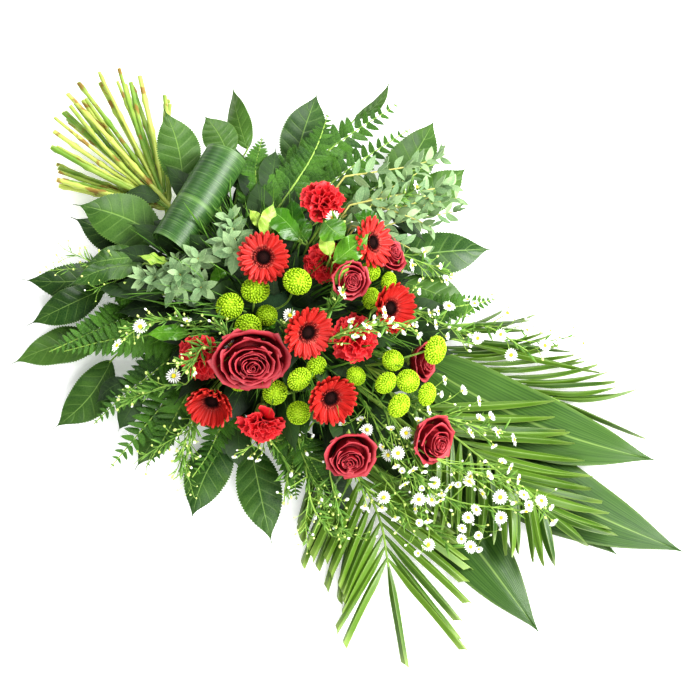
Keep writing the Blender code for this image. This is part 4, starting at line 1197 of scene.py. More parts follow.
def palm(number, spec):
    entry = point(spec["entry"])
    line = smoothRoute([point(place) for place in spec["spine"]])
    draw = random.Random(150 + number)
    rib = stalks([rooted(entry, line, 2.0, 0.55)], "stalk")
    firstDrop, lastDrop = spec["drop"]
    leaflets = []
    source = palmLeaflet if spec.get("trimmed") else palmBlade
    loose = spec.get("loose", 1)
    for index in range(spec["count"]):
        share = (index + 0.6) / spec["count"] * 0.97
        start, forward = growLine(line, min(palmSettings["lastPair"], share))
        drop = firstDrop + (lastDrop - firstDrop) * share
        for side, sign in (("left", 1), ("right", -1)):
            first, last = spec[side]["angles"]
            near, far = spec[side]["lengths"]
            direction = flatTurn(
                forward, sign * (first + (last - first) * share + loose * draw.uniform(-4, 4)),
            )
            length = (near + (far - near) * share) * draw.uniform(0.88, 1.0)
            end = start + (direction * length - up * drop) * mm
            sway = sign * spec["sway"]
            leaflets.append(lay(
                source, start, end, spec["half"] * draw.uniform(0.85, 1.1),
                arch=drop * 0.25 + draw.uniform(0, 4),
                fold=0, roll=draw.uniform(-15, 15), twist=draw.uniform(-16, 16),
                tint=draw.uniform(-1, 1) + spec.get("tone", 0),
                bow=sway + loose * draw.uniform(-4, 4),
            ))
    start, forward = growLine(line, palmSettings["lastPair"])
    end = start + (flatTurn(forward, 0) * spec["end"] - up * lastDrop) * mm
    leaflets.append(lay(source, start, end, spec["half"], arch=lastDrop * 0.25, fold=0))
    piece = joined([weldAndThicken(leaflets, palmSettings["sheet"]), rib])
    settle(piece, f"palmFrond{number}", "palm_leaf", f"palm_{number}")


for number, spec in enumerate(palms, 1):
    palm(number, spec)

# Trimmed leaflets of a frond that lies mostly hidden: its rib, and where each leaflet ends.
hiddenPalms = [
    dict(rib=[(138, -106, 36), (182, -118, 30), (226, -130, 24)], half=4.8, source=palmLeaflet,
         ends=[(167, -183, 8), (179, -195, 8), (188, -194, 8), (199, -218, 7), (214, -210, 7), (238, -223, 7),
               (257, -226, 7)]),
    dict(rib=[(141, 86, 44), (177, 101, 40), (209, 117, 34)], half=3.6, source=palmBlade,
         ends=[(242, 187, 22), (246, 173, 22), (253, 156, 20), (302, 184, 16), (340, 182, 14)]),
]
for number, spec in enumerate(hiddenPalms, 1):
    draw = random.Random(160 + number)
    rib = [point(place) for place in spec["rib"]]
    entry = point(rootOf(spec["rib"][0]))
    leaflets = []
    for index, end in enumerate(spec["ends"]):
        start = growLine(rib, 0.06 + 0.9 * index / len(spec["ends"]))[0]
        leaflets.append(lay(
            spec["source"], start, point(end), spec["half"] * draw.uniform(0.9, 1.1), arch=3, fold=0,
            roll=draw.uniform(-15, 15),
            twist=draw.uniform(-12, 12), tint=draw.uniform(-1, 1), bow=draw.uniform(-3, 3),
        ))
    stem = stalks([rooted(entry, smoothRoute(rib), 1.8, 0.6)], "stalk")
    settle(
        joined([weldAndThicken(leaflets, palmSettings["sheet"]), stem]), f"hiddenPalm{number}", "palm_leaf",
    )
print("palms made")

fernSettings = dict(pinnae=18, pinnules=13)
ferns = [
    dict(entry=(-78, 55, 62), spine=[(-98, 110, 62), (-76, 210, 66), (-49, 306, 60)], width=44),
    dict(entry=(-98, -55, 46), spine=[(-122, -78, 50), (-156, -136, 50), (-192, -196, 38)], width=38),
    dict(entry=(-48, -55, 46), spine=[(-42, -88, 48), (-42, -170, 44), (-48, -262, 24)], width=40),
]


# One side branch of a fern frond, of length 1, with small leaflets on both sides.
def pinnaModel():
    pieces = [copyOf(pinnule, Matrix.Diagonal((0.10, 1, 0.3, 1)), -0.4)]
    count = fernSettings["pinnules"]
    for index in range(count):
        share = (index + 0.5) / count
        length = 0.25 * (1 - share**2.2) + 0.03
        for sign in (1, -1):
            angle = math.radians(58 - 22 * share)
            direction = Vector((sign * math.sin(angle), math.cos(angle), 0.12))
            place = Vector((0, 0.03 + 0.92 * share, 0))
            leaflet = along(place, direction, up, length, 8 * sign)
            pieces.append(copyOf(pinnule, leaflet, 0.25 * math.sin(4.0 * index + sign)))
    return joined(pieces, "pinna")


pinna = pinnaModel()


def frond(entry, spine, width, draw):
    entry = point(entry)
    line = smoothRoute([point(place) for place in spine])
    pieces = [stalks([rooted(entry, line, 1.5, 0.4)], "stalk")]
    count = fernSettings["pinnae"]
    for index in range(count):
        share = (index + 0.4) / count
        start, forward = growLine(line, share)
        length = width * (1 - share) ** 0.7 * 1.15
        for sign in (1, -1):
            direction = flatTurn(forward, sign * draw.uniform(56, 66)) + up * draw.uniform(-0.12, 0.06)
            place = along(start, direction, up, length * mm, draw.uniform(-14, 14) - 10 * sign)
            pieces.append(copyOf(pinna, place, draw.uniform(-0.5, 0.5)))
    return joined(pieces)


for number, spec in enumerate(ferns, 1):
    piece = frond(spec["entry"], spec["spine"], spec["width"], random.Random(200 + number))
    settle(piece, f"fernFrond{number}", "fern_leaf", f"fern_{number}", smooth=60)
print("ferns made")

gumSettings = dict(sheet=0.5, spacing=(12, 21))
gumSprigs = [
    dict(entry=(-86, -28, foamTop), spine=[(-92, -38, 102), (-116, -54, 100), (-142, -70, 92)], whorled=True),
    dict(entry=(-76, 16, foamTop), spine=[(-78, 18, 100), (-82, 26, 116), (-100, 40, 122)], whorled=True),
    dict(entry=(2, 55, 76), spine=[(4, 84, 80), (36, 170, 82), (84, 240, 72)]),
]


# A eucalyptus sprig: whorls of five leaves, or pairs of slim ones, closer towards its tip.
def gumSprig(entry, spine, draw, whorled=False):
    entry = point(entry)
    line = smoothRoute([point(place) for place in spine])
    stem = stalks([rooted(entry, line, 1.3, 0.5)], "twig")
    leaves = []
    total = sum((b - a).length for a, b in zip(line, line[1:])) / mm
    nodes = max(4, int(total / gumSettings["spacing"][1 if whorled else 0]) + 1)
    count = 5 if whorled else 2
    breadth = (0.19, 0.25) if whorled else (0.16, 0.21)
    for index in range(nodes):
        start, forward = growLine(line, 0.08 + 0.92 * (index / (nodes - 1)) ** 0.85)
        side = forward.cross(up).normalized()
        over = side.cross(forward)
        for leaf in range(count + (index == nodes - 1)):
            angle = math.tau * leaf / count + index * 0.9 + draw.uniform(-0.35, 0.35)
            away = side * math.cos(angle) + over * (abs(math.sin(angle)) * 0.8 - 0.15)
            way = (away + forward * draw.uniform(0.25, 1.0)).normalized()
            length = draw.uniform(19, 27) * (1 - 0.25 * index / nodes)
            leaves.append(lay(
                gumLeaf, start, start + way * length * mm, length * draw.uniform(*breadth),
                arch=draw.uniform(0, 2.5), roll=draw.uniform(-45, 45), tint=draw.uniform(-0.9, 0.9),
                bow=draw.uniform(-1.5, 1.5), wave=0.5, phase=draw.random(),
            ))
    return joined([weldAndThicken(leaves, gumSettings["sheet"]), stem])


for number, spec in enumerate(gumSprigs, 1):
    settle(gumSprig(spec["entry"], spec["spine"], random.Random(230 + number), spec.get("whorled")),
           f"gumSprig{number}", "eucalyptus_leaf", f"eucalyptus_{number}")
print("eucalyptus made")

asterSettings = dict(radius=8, rays=17, sprigLength=78)


# A daisy: narrow white rays round a yellow middle, flat or cupped.
def daisyModel(size, cup):
    pieces = [copyOf(yellowHeart, Matrix.Translation((0, 0, 0.06)) @ Matrix.Diagonal((0.30, 0.30, 0.17, 1)))]
    pieces.append(
        copyOf(calyxBall, Matrix.Translation((0, 0, -0.16)) @ Matrix.Diagonal((0.22, 0.22, 0.22, 1)), 0.2)
    )
    rays = asterSettings["rays"]
    for index in range(rays):
        angle = math.tau * index / rays
        direction = ringWay(angle, cup + 0.10 * math.sin(3.7 * index))
        length = 0.84 * (1 + 0.06 * math.sin(5.1 * index))
        root = ringWay(angle) * 0.17
        pieces.append(copyOf(whiteRay, along(root, direction, up, length), 0.3 * math.sin(2.3 * index)))
    daisy = joined(pieces, "daisy")
    daisy.data.transform(Matrix.Scale(size * mm, 4))
    return daisy


openDaisy = daisyModel(asterSettings["radius"], 0.12)
halfDaisy = daisyModel(asterSettings["radius"] * 0.8, 0.8)


# A white bud just opening, on its green cup.
def whiteBudModel():
    pieces = [
        copyOf(budBall, Matrix.Diagonal((1.3 * mm, 1.3 * mm, 1.6 * mm, 1)), -0.8),
        copyOf(
            rayTip,
            Matrix.Translation((0, 0, 2.2 * mm)) @ Matrix.Diagonal((1.7 * mm, 1.7 * mm, 2.4 * mm, 1)),
        ),
    ]
    return joined(pieces, "white bud")


whiteBud = whiteBudModel()
greenBud = copyOf(budBall, Matrix.Diagonal((1.6 * mm, 1.6 * mm, 2.0 * mm, 1)))
kinds = dict(o=openDaisy, h=halfDaisy, w=whiteBud, g=greenBud)


# A sprig of daisies and buds on fine stalks with a few narrow leaves. The heads are given as
# a letter each: o open, h half open, w white bud, g green bud.
def sprigModel(draw, heads, leaves):
    length = asterSettings["sprigLength"]
    line = smoothRoute([Vector((0, 0, 0)), Vector((draw.uniform(-4, 4), length * 0.5, 4)) * mm,
                        Vector((draw.uniform(-8, 8), length, draw.uniform(2, 12))) * mm])
    routes = [dict(points=line, radius=0.62, taper=0.6)]
    pieces = []
    order = list(heads)
    draw.shuffle(order)
    for index, letter in enumerate(order):
        start, forward = growLine(line, 0.22 + 0.78 * (index + 0.5) / len(order))
        angle = index * goldenAngle + draw.uniform(-0.4, 0.4)
        side = Vector((math.cos(angle), 0.8, abs(math.sin(angle)) * 0.8)).normalized()
        end = start + side * draw.uniform(12, 28) * mm
        routes.append(
            dict(points=smoothRoute([start, start.lerp(end, 0.5) + forward * 3 * mm, end], 2), radius=0.36)
        )
        facing = (side + Vector((0, 0, draw.uniform(0.1, 1.4)))).normalized()
        scale = Matrix.Scale(draw.uniform(0.8, 1.1), 4)
        place = facingSeat(end / mm, facing, draw.uniform(0, 360)) @ scale
        pieces.append(copyOf(kinds[letter], place, draw.uniform(-0.5, 0.5)))
    for index in range(leaves):
        start, forward = growLine(line, 0.05 + 0.9 * index / leaves)
        angle = index * goldenAngle
        side = Vector((math.cos(angle), 0.9, math.sin(angle) * 0.6)).normalized()
        pieces.append(
            copyOf(hazeLeaf, along(start, side, up, draw.uniform(9, 18) * mm), draw.uniform(-0.6, 0.6))
        )
    return joined([stalks(routes, "stalk", sides=0)] + pieces, "sprig")


sprigDraw = random.Random(19)
flowering = (("ohhwwg", 6), ("ohwwwg", 7), ("oohwwgg", 5), ("hhwwgg", 8))
budding = (("wgggggg", 9), ("hwwggggg", 7), ("ggggggg", 12))
flowerSprigs = [sprigModel(sprigDraw, heads, leaves) for heads, leaves in flowering]
budSprigs = [sprigModel(sprigDraw, heads, leaves) for heads, leaves in budding]
asterSprays = [
    dict(
        entry=(115, -12, 58), spine=[(190, -62, 62), (290, -66, 64), (372, -24, 60)], flowers=5,
        kind=flowerSprigs,
    ),
    dict(
        entry=(115, -34, 54), spine=[(170, -74, 52), (262, -98, 54), (330, -106, 50)], flowers=5,
        kind=flowerSprigs,
    ),
    dict(
        entry=(92, -55, 46), spine=[(120, -110, 56), (170, -160, 52), (212, -176, 46)], flowers=5,
        kind=budSprigs, head=whiteBud,
    ),
    dict(
        entry=(115, 32, 58), spine=[(150, 84, 62), (200, 130, 60), (262, 138, 54)], flowers=5,
        kind=flowerSprigs,
    ),
    dict(
        entry=(-115, -32, 62), spine=[(-150, -58, 72), (-186, -84, 70), (-212, -86, 66)], flowers=4,
        kind=budSprigs, head=greenBud,
    ),
    dict(
        entry=(-4, -55, 42), spine=[(0, -108, 50), (6, -170, 44), (26, -216, 36)], flowers=4,
        kind=budSprigs, head=whiteBud,
    ),
]


# Sprigs that leave a main stem on both sides and upwards.
def sprigsAlong(line, count, models, draw, sizes=(0.7, 1.05), first=0.1, rise=0.5):
    made = []
    for index in range(count):
        start, forward = growLine(line, first + (1 - first) * (index + 0.3) / count)
        sign = 1 if index % 2 else -1
        side = forward.cross(up).normalized() * sign
        direction = forward * draw.uniform(0.7, 1.2) + side * draw.uniform(0.15, 0.8)
        direction += up * draw.uniform(0.0, rise)
        place = along(start, direction, up, draw.uniform(*sizes), draw.uniform(-40, 40))
        made.append(copyOf(draw.choice(models), place, draw.uniform(-0.4, 0.4)))
    return made


def leavesOn(line, count, draw, sizes=(12, 24)):
    made = []
    for index in range(count):
        start, forward = growLine(line, (index + 0.5) / count)
        side = Vector([draw.uniform(-1, 1) for _ in range(3)])
        place = along(start, forward * 0.9 + side, up, draw.uniform(*sizes) * mm)
        made.append(copyOf(hazeLeaf, place, draw.uniform(-0.8, 0.6)))
    return made


def asterSpray(number, spec):
    entry = point(spec["entry"])
    spine = [point(place) for place in spec["spine"]]
    draw = random.Random(77 + number)
    routes = [rooted(entry, smoothRoute(spine), 1.2, 0.8)]
    pieces = []
    for index in range(spec["flowers"]):
        share = 0.12 + 0.88 * index / (spec["flowers"] - 1)
        start, forward = growLine(spine, share)
        side = forward.cross(up).normalized() * (1 if index % 2 else -1)
        reach = (16 + 10 * draw.random()) * (0.45 if index == spec["flowers"] - 1 else 1)
        end = start + (forward * 16 + side * reach + up * (12 + 8 * draw.random())) * mm
        facing = (end - start).normalized() + up * 1.4
        seat = facingSeat(end / mm, facing)
        routes.append(dict(points=[start, outOf(seat, 0, 0, -2)], radius=0.7))
        pieces.append(copyOf(spec.get("head", openDaisy), seat))
    pieces += sprigsAlong(smoothRoute(spine), 3, spec["kind"], draw, first=0.15)
    pieces += leavesOn(smoothRoute(spine), 22, draw)
    settle(
        joined([stalks(routes, "stalk")] + pieces), f"asterSpray{number}", "aster",
        f"aster_spray_{number}", smooth=50,
    )


for number, spec in enumerate(asterSprays, 1):
    asterSpray(number, spec)
print("asters made")

sheaf = dict(
    neck=(-186, 30, 44), tie=7.6, length=190, angles=(201, 130), heights=(10, 52), stems=34, radius=2.8,
    node=1.42, steps=22, entries=((-115, 12, 34), (-115, 24, 44), (-115, 12, 54), (-115, 32, 32)),
)


# Cut stems that fan out from the tie, with swollen nodes and pale cut ends.
def stemSheaf():
    neck = point(sheaf["neck"])
    draw = random.Random(11)
    axis = Vector((-1, 0.35, 0)).normalized()
    across = axis.cross(up)
    routes = []
    faces = []
    count = sheaf["stems"]
    for index in range(count):
        share = (index + 0.5) / count
        turn = index * goldenAngle
        sideways = math.sqrt(share) * math.cos(turn)
        upwards = math.sqrt(share) * math.sin(turn)
        start = neck + (across * sideways + up * upwards) * sheaf["tie"] * mm
        low, high = sheaf["angles"]
        spread = min(1, max(0, 0.5 - 0.6 * sideways + 0.16 * (draw.random() - 0.5)))
        heading = math.radians(low + (high - low) * spread)
        bottom, top = sheaf["heights"]
        height = bottom + (top - bottom) * (0.5 + 0.5 * upwards)
        reach = sheaf["length"] * (0.8 + 0.30 * math.sin(math.pi * spread**1.5))
        reach = (reach + 20 * (draw.random() - 0.5)) * mm
        end = Vector((neck.x + reach * math.cos(heading), neck.y + reach * math.sin(heading), height * mm))
        radius = sheaf["radius"] * draw.uniform(0.75, 1.12)
        steps = sheaf["steps"]
        bend = across * draw.uniform(-6, 6) * mm
        points = [start.lerp(end, k / steps) + bend * math.sin(math.pi * k / steps) for k in range(steps + 1)]
        every = draw.choice((5, 6, 7))
        radii = [radius * (sheaf["node"] if k % every == 3 else 1) for k in range(steps + 1)]
        routes.append(dict(points=points, radii=radii))
        cutSeat = Matrix.Translation(end) @ along(end, up, end - start).to_3x3().to_4x4()
        cutSize = Matrix.Diagonal((radius * 1.03 * mm, radius * 1.03 * mm, 0.9 * mm, 1))
        faces.append(copyOf(cutFace, cutSeat @ cutSize))
    for place in sheaf["entries"]:
        entry = point(place)
        outside = neck + (entry - neck) * 0.06
        routes.append(rooted(entry, [outside], 2.0))
    shades = (-0.8, 0.0, 0.8)
    pieces = [stalks(routes[k::3], "cutStem", sides=2, tint=shades[k]) for k in range(3)] + faces
    settle(joined(pieces), "stemSheaf", "cut_stem", "stem_bunch", smooth=50)


stemSheaf()
roll = dict(ends=[(-163, 113, 92), (-143, -20, 92)], radius=26, pitch=2.6, turn=440, pin=(-115, -4, 74))


# A long leaf rolled into a tube, its veins running round it.
def leafRoll():
    first, last = [point(end) for end in roll["ends"]]
    axis = (last - first).normalized()
    side = axis.cross(up).normalized()
    turn = math.radians(roll["turn"])

    def shape(u, t):
        angle = t * turn - math.radians(60)
        radius = roll["radius"] - roll["pitch"] * t * turn / math.tau
        radius = radius - 0.5 * np.exp(-((u / 0.03) ** 2))
        run = 0.5 * (u + 1) + 0.07 * (1 - u * u)
        run = run + 0.035 * np.cos(angle) * (0.5 - run)
        place = np.array(first) + np.outer(run, last - first)
        out = np.outer(np.cos(angle), side) + np.outer(np.sin(angle), up)
        return (place + out * (radius * mm)[:, None]).T

    tube = thicken(sheet("leaf roll", "roll", 68, 56, shape), 0.8)
    pin = point(roll["pin"])
    middle = first + (last - first) * 0.82
    outside = middle + (pin - middle).normalized() * (roll["radius"] - 1.2 * roll["pitch"]) * mm
    stem = stalks([rooted(pin, [outside], 1.6)], "stalk")
    settle(joined([tube, stem]), "leafRoll", "aspidistra_leaf", "rolled_leaf")


leafRoll()
print("stems and rolled leaf made")

extraFerns = [
    dict(spine=[(-132, -60, 60), (-148, -72, 60), (-164, -88, 58), (-193, -92, 52)], width=30),
    dict(spine=[(-79, -78, 56), (-104, -113, 58), (-139, -145, 54), (-176, -186, 44)], width=38),
    dict(spine=[(-28, -92, 54), (-24, -150, 50), (-16, -196, 42), (-14, -236, 28)], width=36),
    dict(spine=[(-64, -84, 54), (-72, -140, 52), (-86, -190, 44), (-96, -232, 28)], width=36),
    dict(spine=[(21, -88, 50), (30, -150, 46), (37, -184, 40), (37, -214, 30)], width=30),
    dict(spine=[(-79, 100, 70), (-84, 164, 74), (-92, 200, 74), (-108, 240, 66)], width=36),
    dict(spine=[(-60, 100, 64), (-46, 180, 68), (-30, 240, 66), (-18, 286, 58)], width=36),
    dict(spine=[(-30, 110, 60), (-10, 180, 62), (10, 230, 58), (30, 268, 48)], width=34),
    dict(spine=[(116, 76, 52), (150, 120, 54), (176, 152, 46), (190, 176, 34)], width=30),
    dict(spine=[(-96, 93, 72), (-129, 123, 72), (-153, 166, 64)], width=30),
    dict(spine=[(95, -111, 60), (122, -134, 50), (151, -164, 34)], width=26),
    dict(spine=[(116, -110, 60), (146, -124, 52), (177, -135, 40)], width=24),
]
for number, spec in enumerate(extraFerns, 1):
    piece = frond(rootOf(spec["spine"][0]), spec["spine"], spec["width"], random.Random(300 + number))
    settle(piece, f"underFern{number}", "fern_leaf", smooth=60)
print("extra ferns made")

extraGum = [
    [(-6, 100, 84), (22, 160, 90), (46, 190, 88), (64, 226, 80)],
    [(10, 96, 80), (38, 150, 86), (63, 185, 82), (92, 222, 74)],
    [(-16, 100, 78), (0, 160, 82), (18, 205, 82), (28, 236, 76)],
    [(-5, 146, 100), (22, 180, 98), (52, 217, 92), (71, 243, 84)],
    [(14, 125, 104), (44, 136, 106), (78, 144, 98), (103, 151, 90)],
    [(-33, 174, 96), (-8, 201, 94), (18, 236, 84), (37, 271, 72)],
    [(15, 163, 98), (50, 176, 94), (83, 187, 84)],
]
for number, spine in enumerate(extraGum, 1):
    settle(
        gumSprig(rootOf(spine[0]), spine, random.Random(330 + number)), f"gumFill{number}",
        "eucalyptus_leaf",
    )

# Star-like whorls of the round-leaved sprigs: where each is, the way it faces and its size.
starLeaf = sheet("star leaf", "gum", 6, 12, gumShape)
whorls = [
    dict(place=(-88, 14, 126), facing=(-0.35, 0.10, 0.90), size=23),
    dict(place=(-67, 9, 136), facing=(0.10, -0.20, 1.00), size=27),
    dict(place=(-99, -21, 120), facing=(-0.10, 0.15, 0.95), size=24),
    dict(place=(-104, -48, 118), facing=(-0.10, -0.10, 0.98), size=24),
    dict(place=(-104, -61, 110), facing=(-0.15, -0.45, 0.90), size=26),
    dict(place=(-77, -44, 112), facing=(0.15, -0.45, 0.88), size=24),
    dict(place=(-131, -63, 100), facing=(-0.50, -0.20, 0.80), size=18),
    dict(place=(-124, -34, 104), facing=(-0.40, 0.30, 0.80), size=15),
]
whorlRings = (
    dict(count=5, reach=1.0, rise=0.05, lift=0), dict(count=4, reach=0.62, rise=0.8, lift=2),
    dict(count=4, reach=0.8, rise=0.0, lift=-13),
)


def whorl(number, spec):
    draw = random.Random(370 + number)
    seat = facingSeat(spec["place"], spec["facing"], spin=31 * number)
    axis = seat.to_3x3() @ up
    leaves = []
    for level, ring in enumerate(whorlRings):
        for index in range(ring["count"]):
            angle = math.tau * (index + 0.5 * level) / ring["count"] + draw.uniform(-0.2, 0.2)
            out = ringWay(angle, ring["rise"] + draw.uniform(-0.15, 0.2))
            base = outOf(seat, 1.2 * math.cos(angle), 1.2 * math.sin(angle), ring["lift"])
            length = spec["size"] * ring["reach"] * draw.uniform(0.85, 1.1)
            leaves.append(lay(
                starLeaf, base, base + (seat.to_3x3() @ out).normalized() * length * mm,
                length * draw.uniform(0.22, 0.27),
                arch=draw.uniform(0.5, 2), roll=draw.uniform(-18, 18), lean=axis, fold=0.1,
                tint=draw.uniform(-0.8, 0.8),
                bow=draw.uniform(-1, 1), wave=0.4, phase=draw.random(),
            ))
    x, y, z = spec["place"]
    entry = point(rootOf((0.8 * x, 0.6 * y, 82)))
    knee = entry.lerp(outOf(seat, 0, 0, -20), 0.6) + up * 6 * mm
    route = smoothRoute([entry, knee, outOf(seat, 0, 0, -16), outOf(seat, 0, 0, 2)])
    stem = stalks([rooted(entry, route[1:], 1.2, 0.7)], "twig")
    settle(
        joined([weldAndThicken(leaves, gumSettings["sheet"]), stem]), f"gumWhorl{number}",
        "eucalyptus_leaf",
    )


for number, spec in enumerate(whorls, 1):
    whorl(number, spec)
print("extra eucalyptus made")

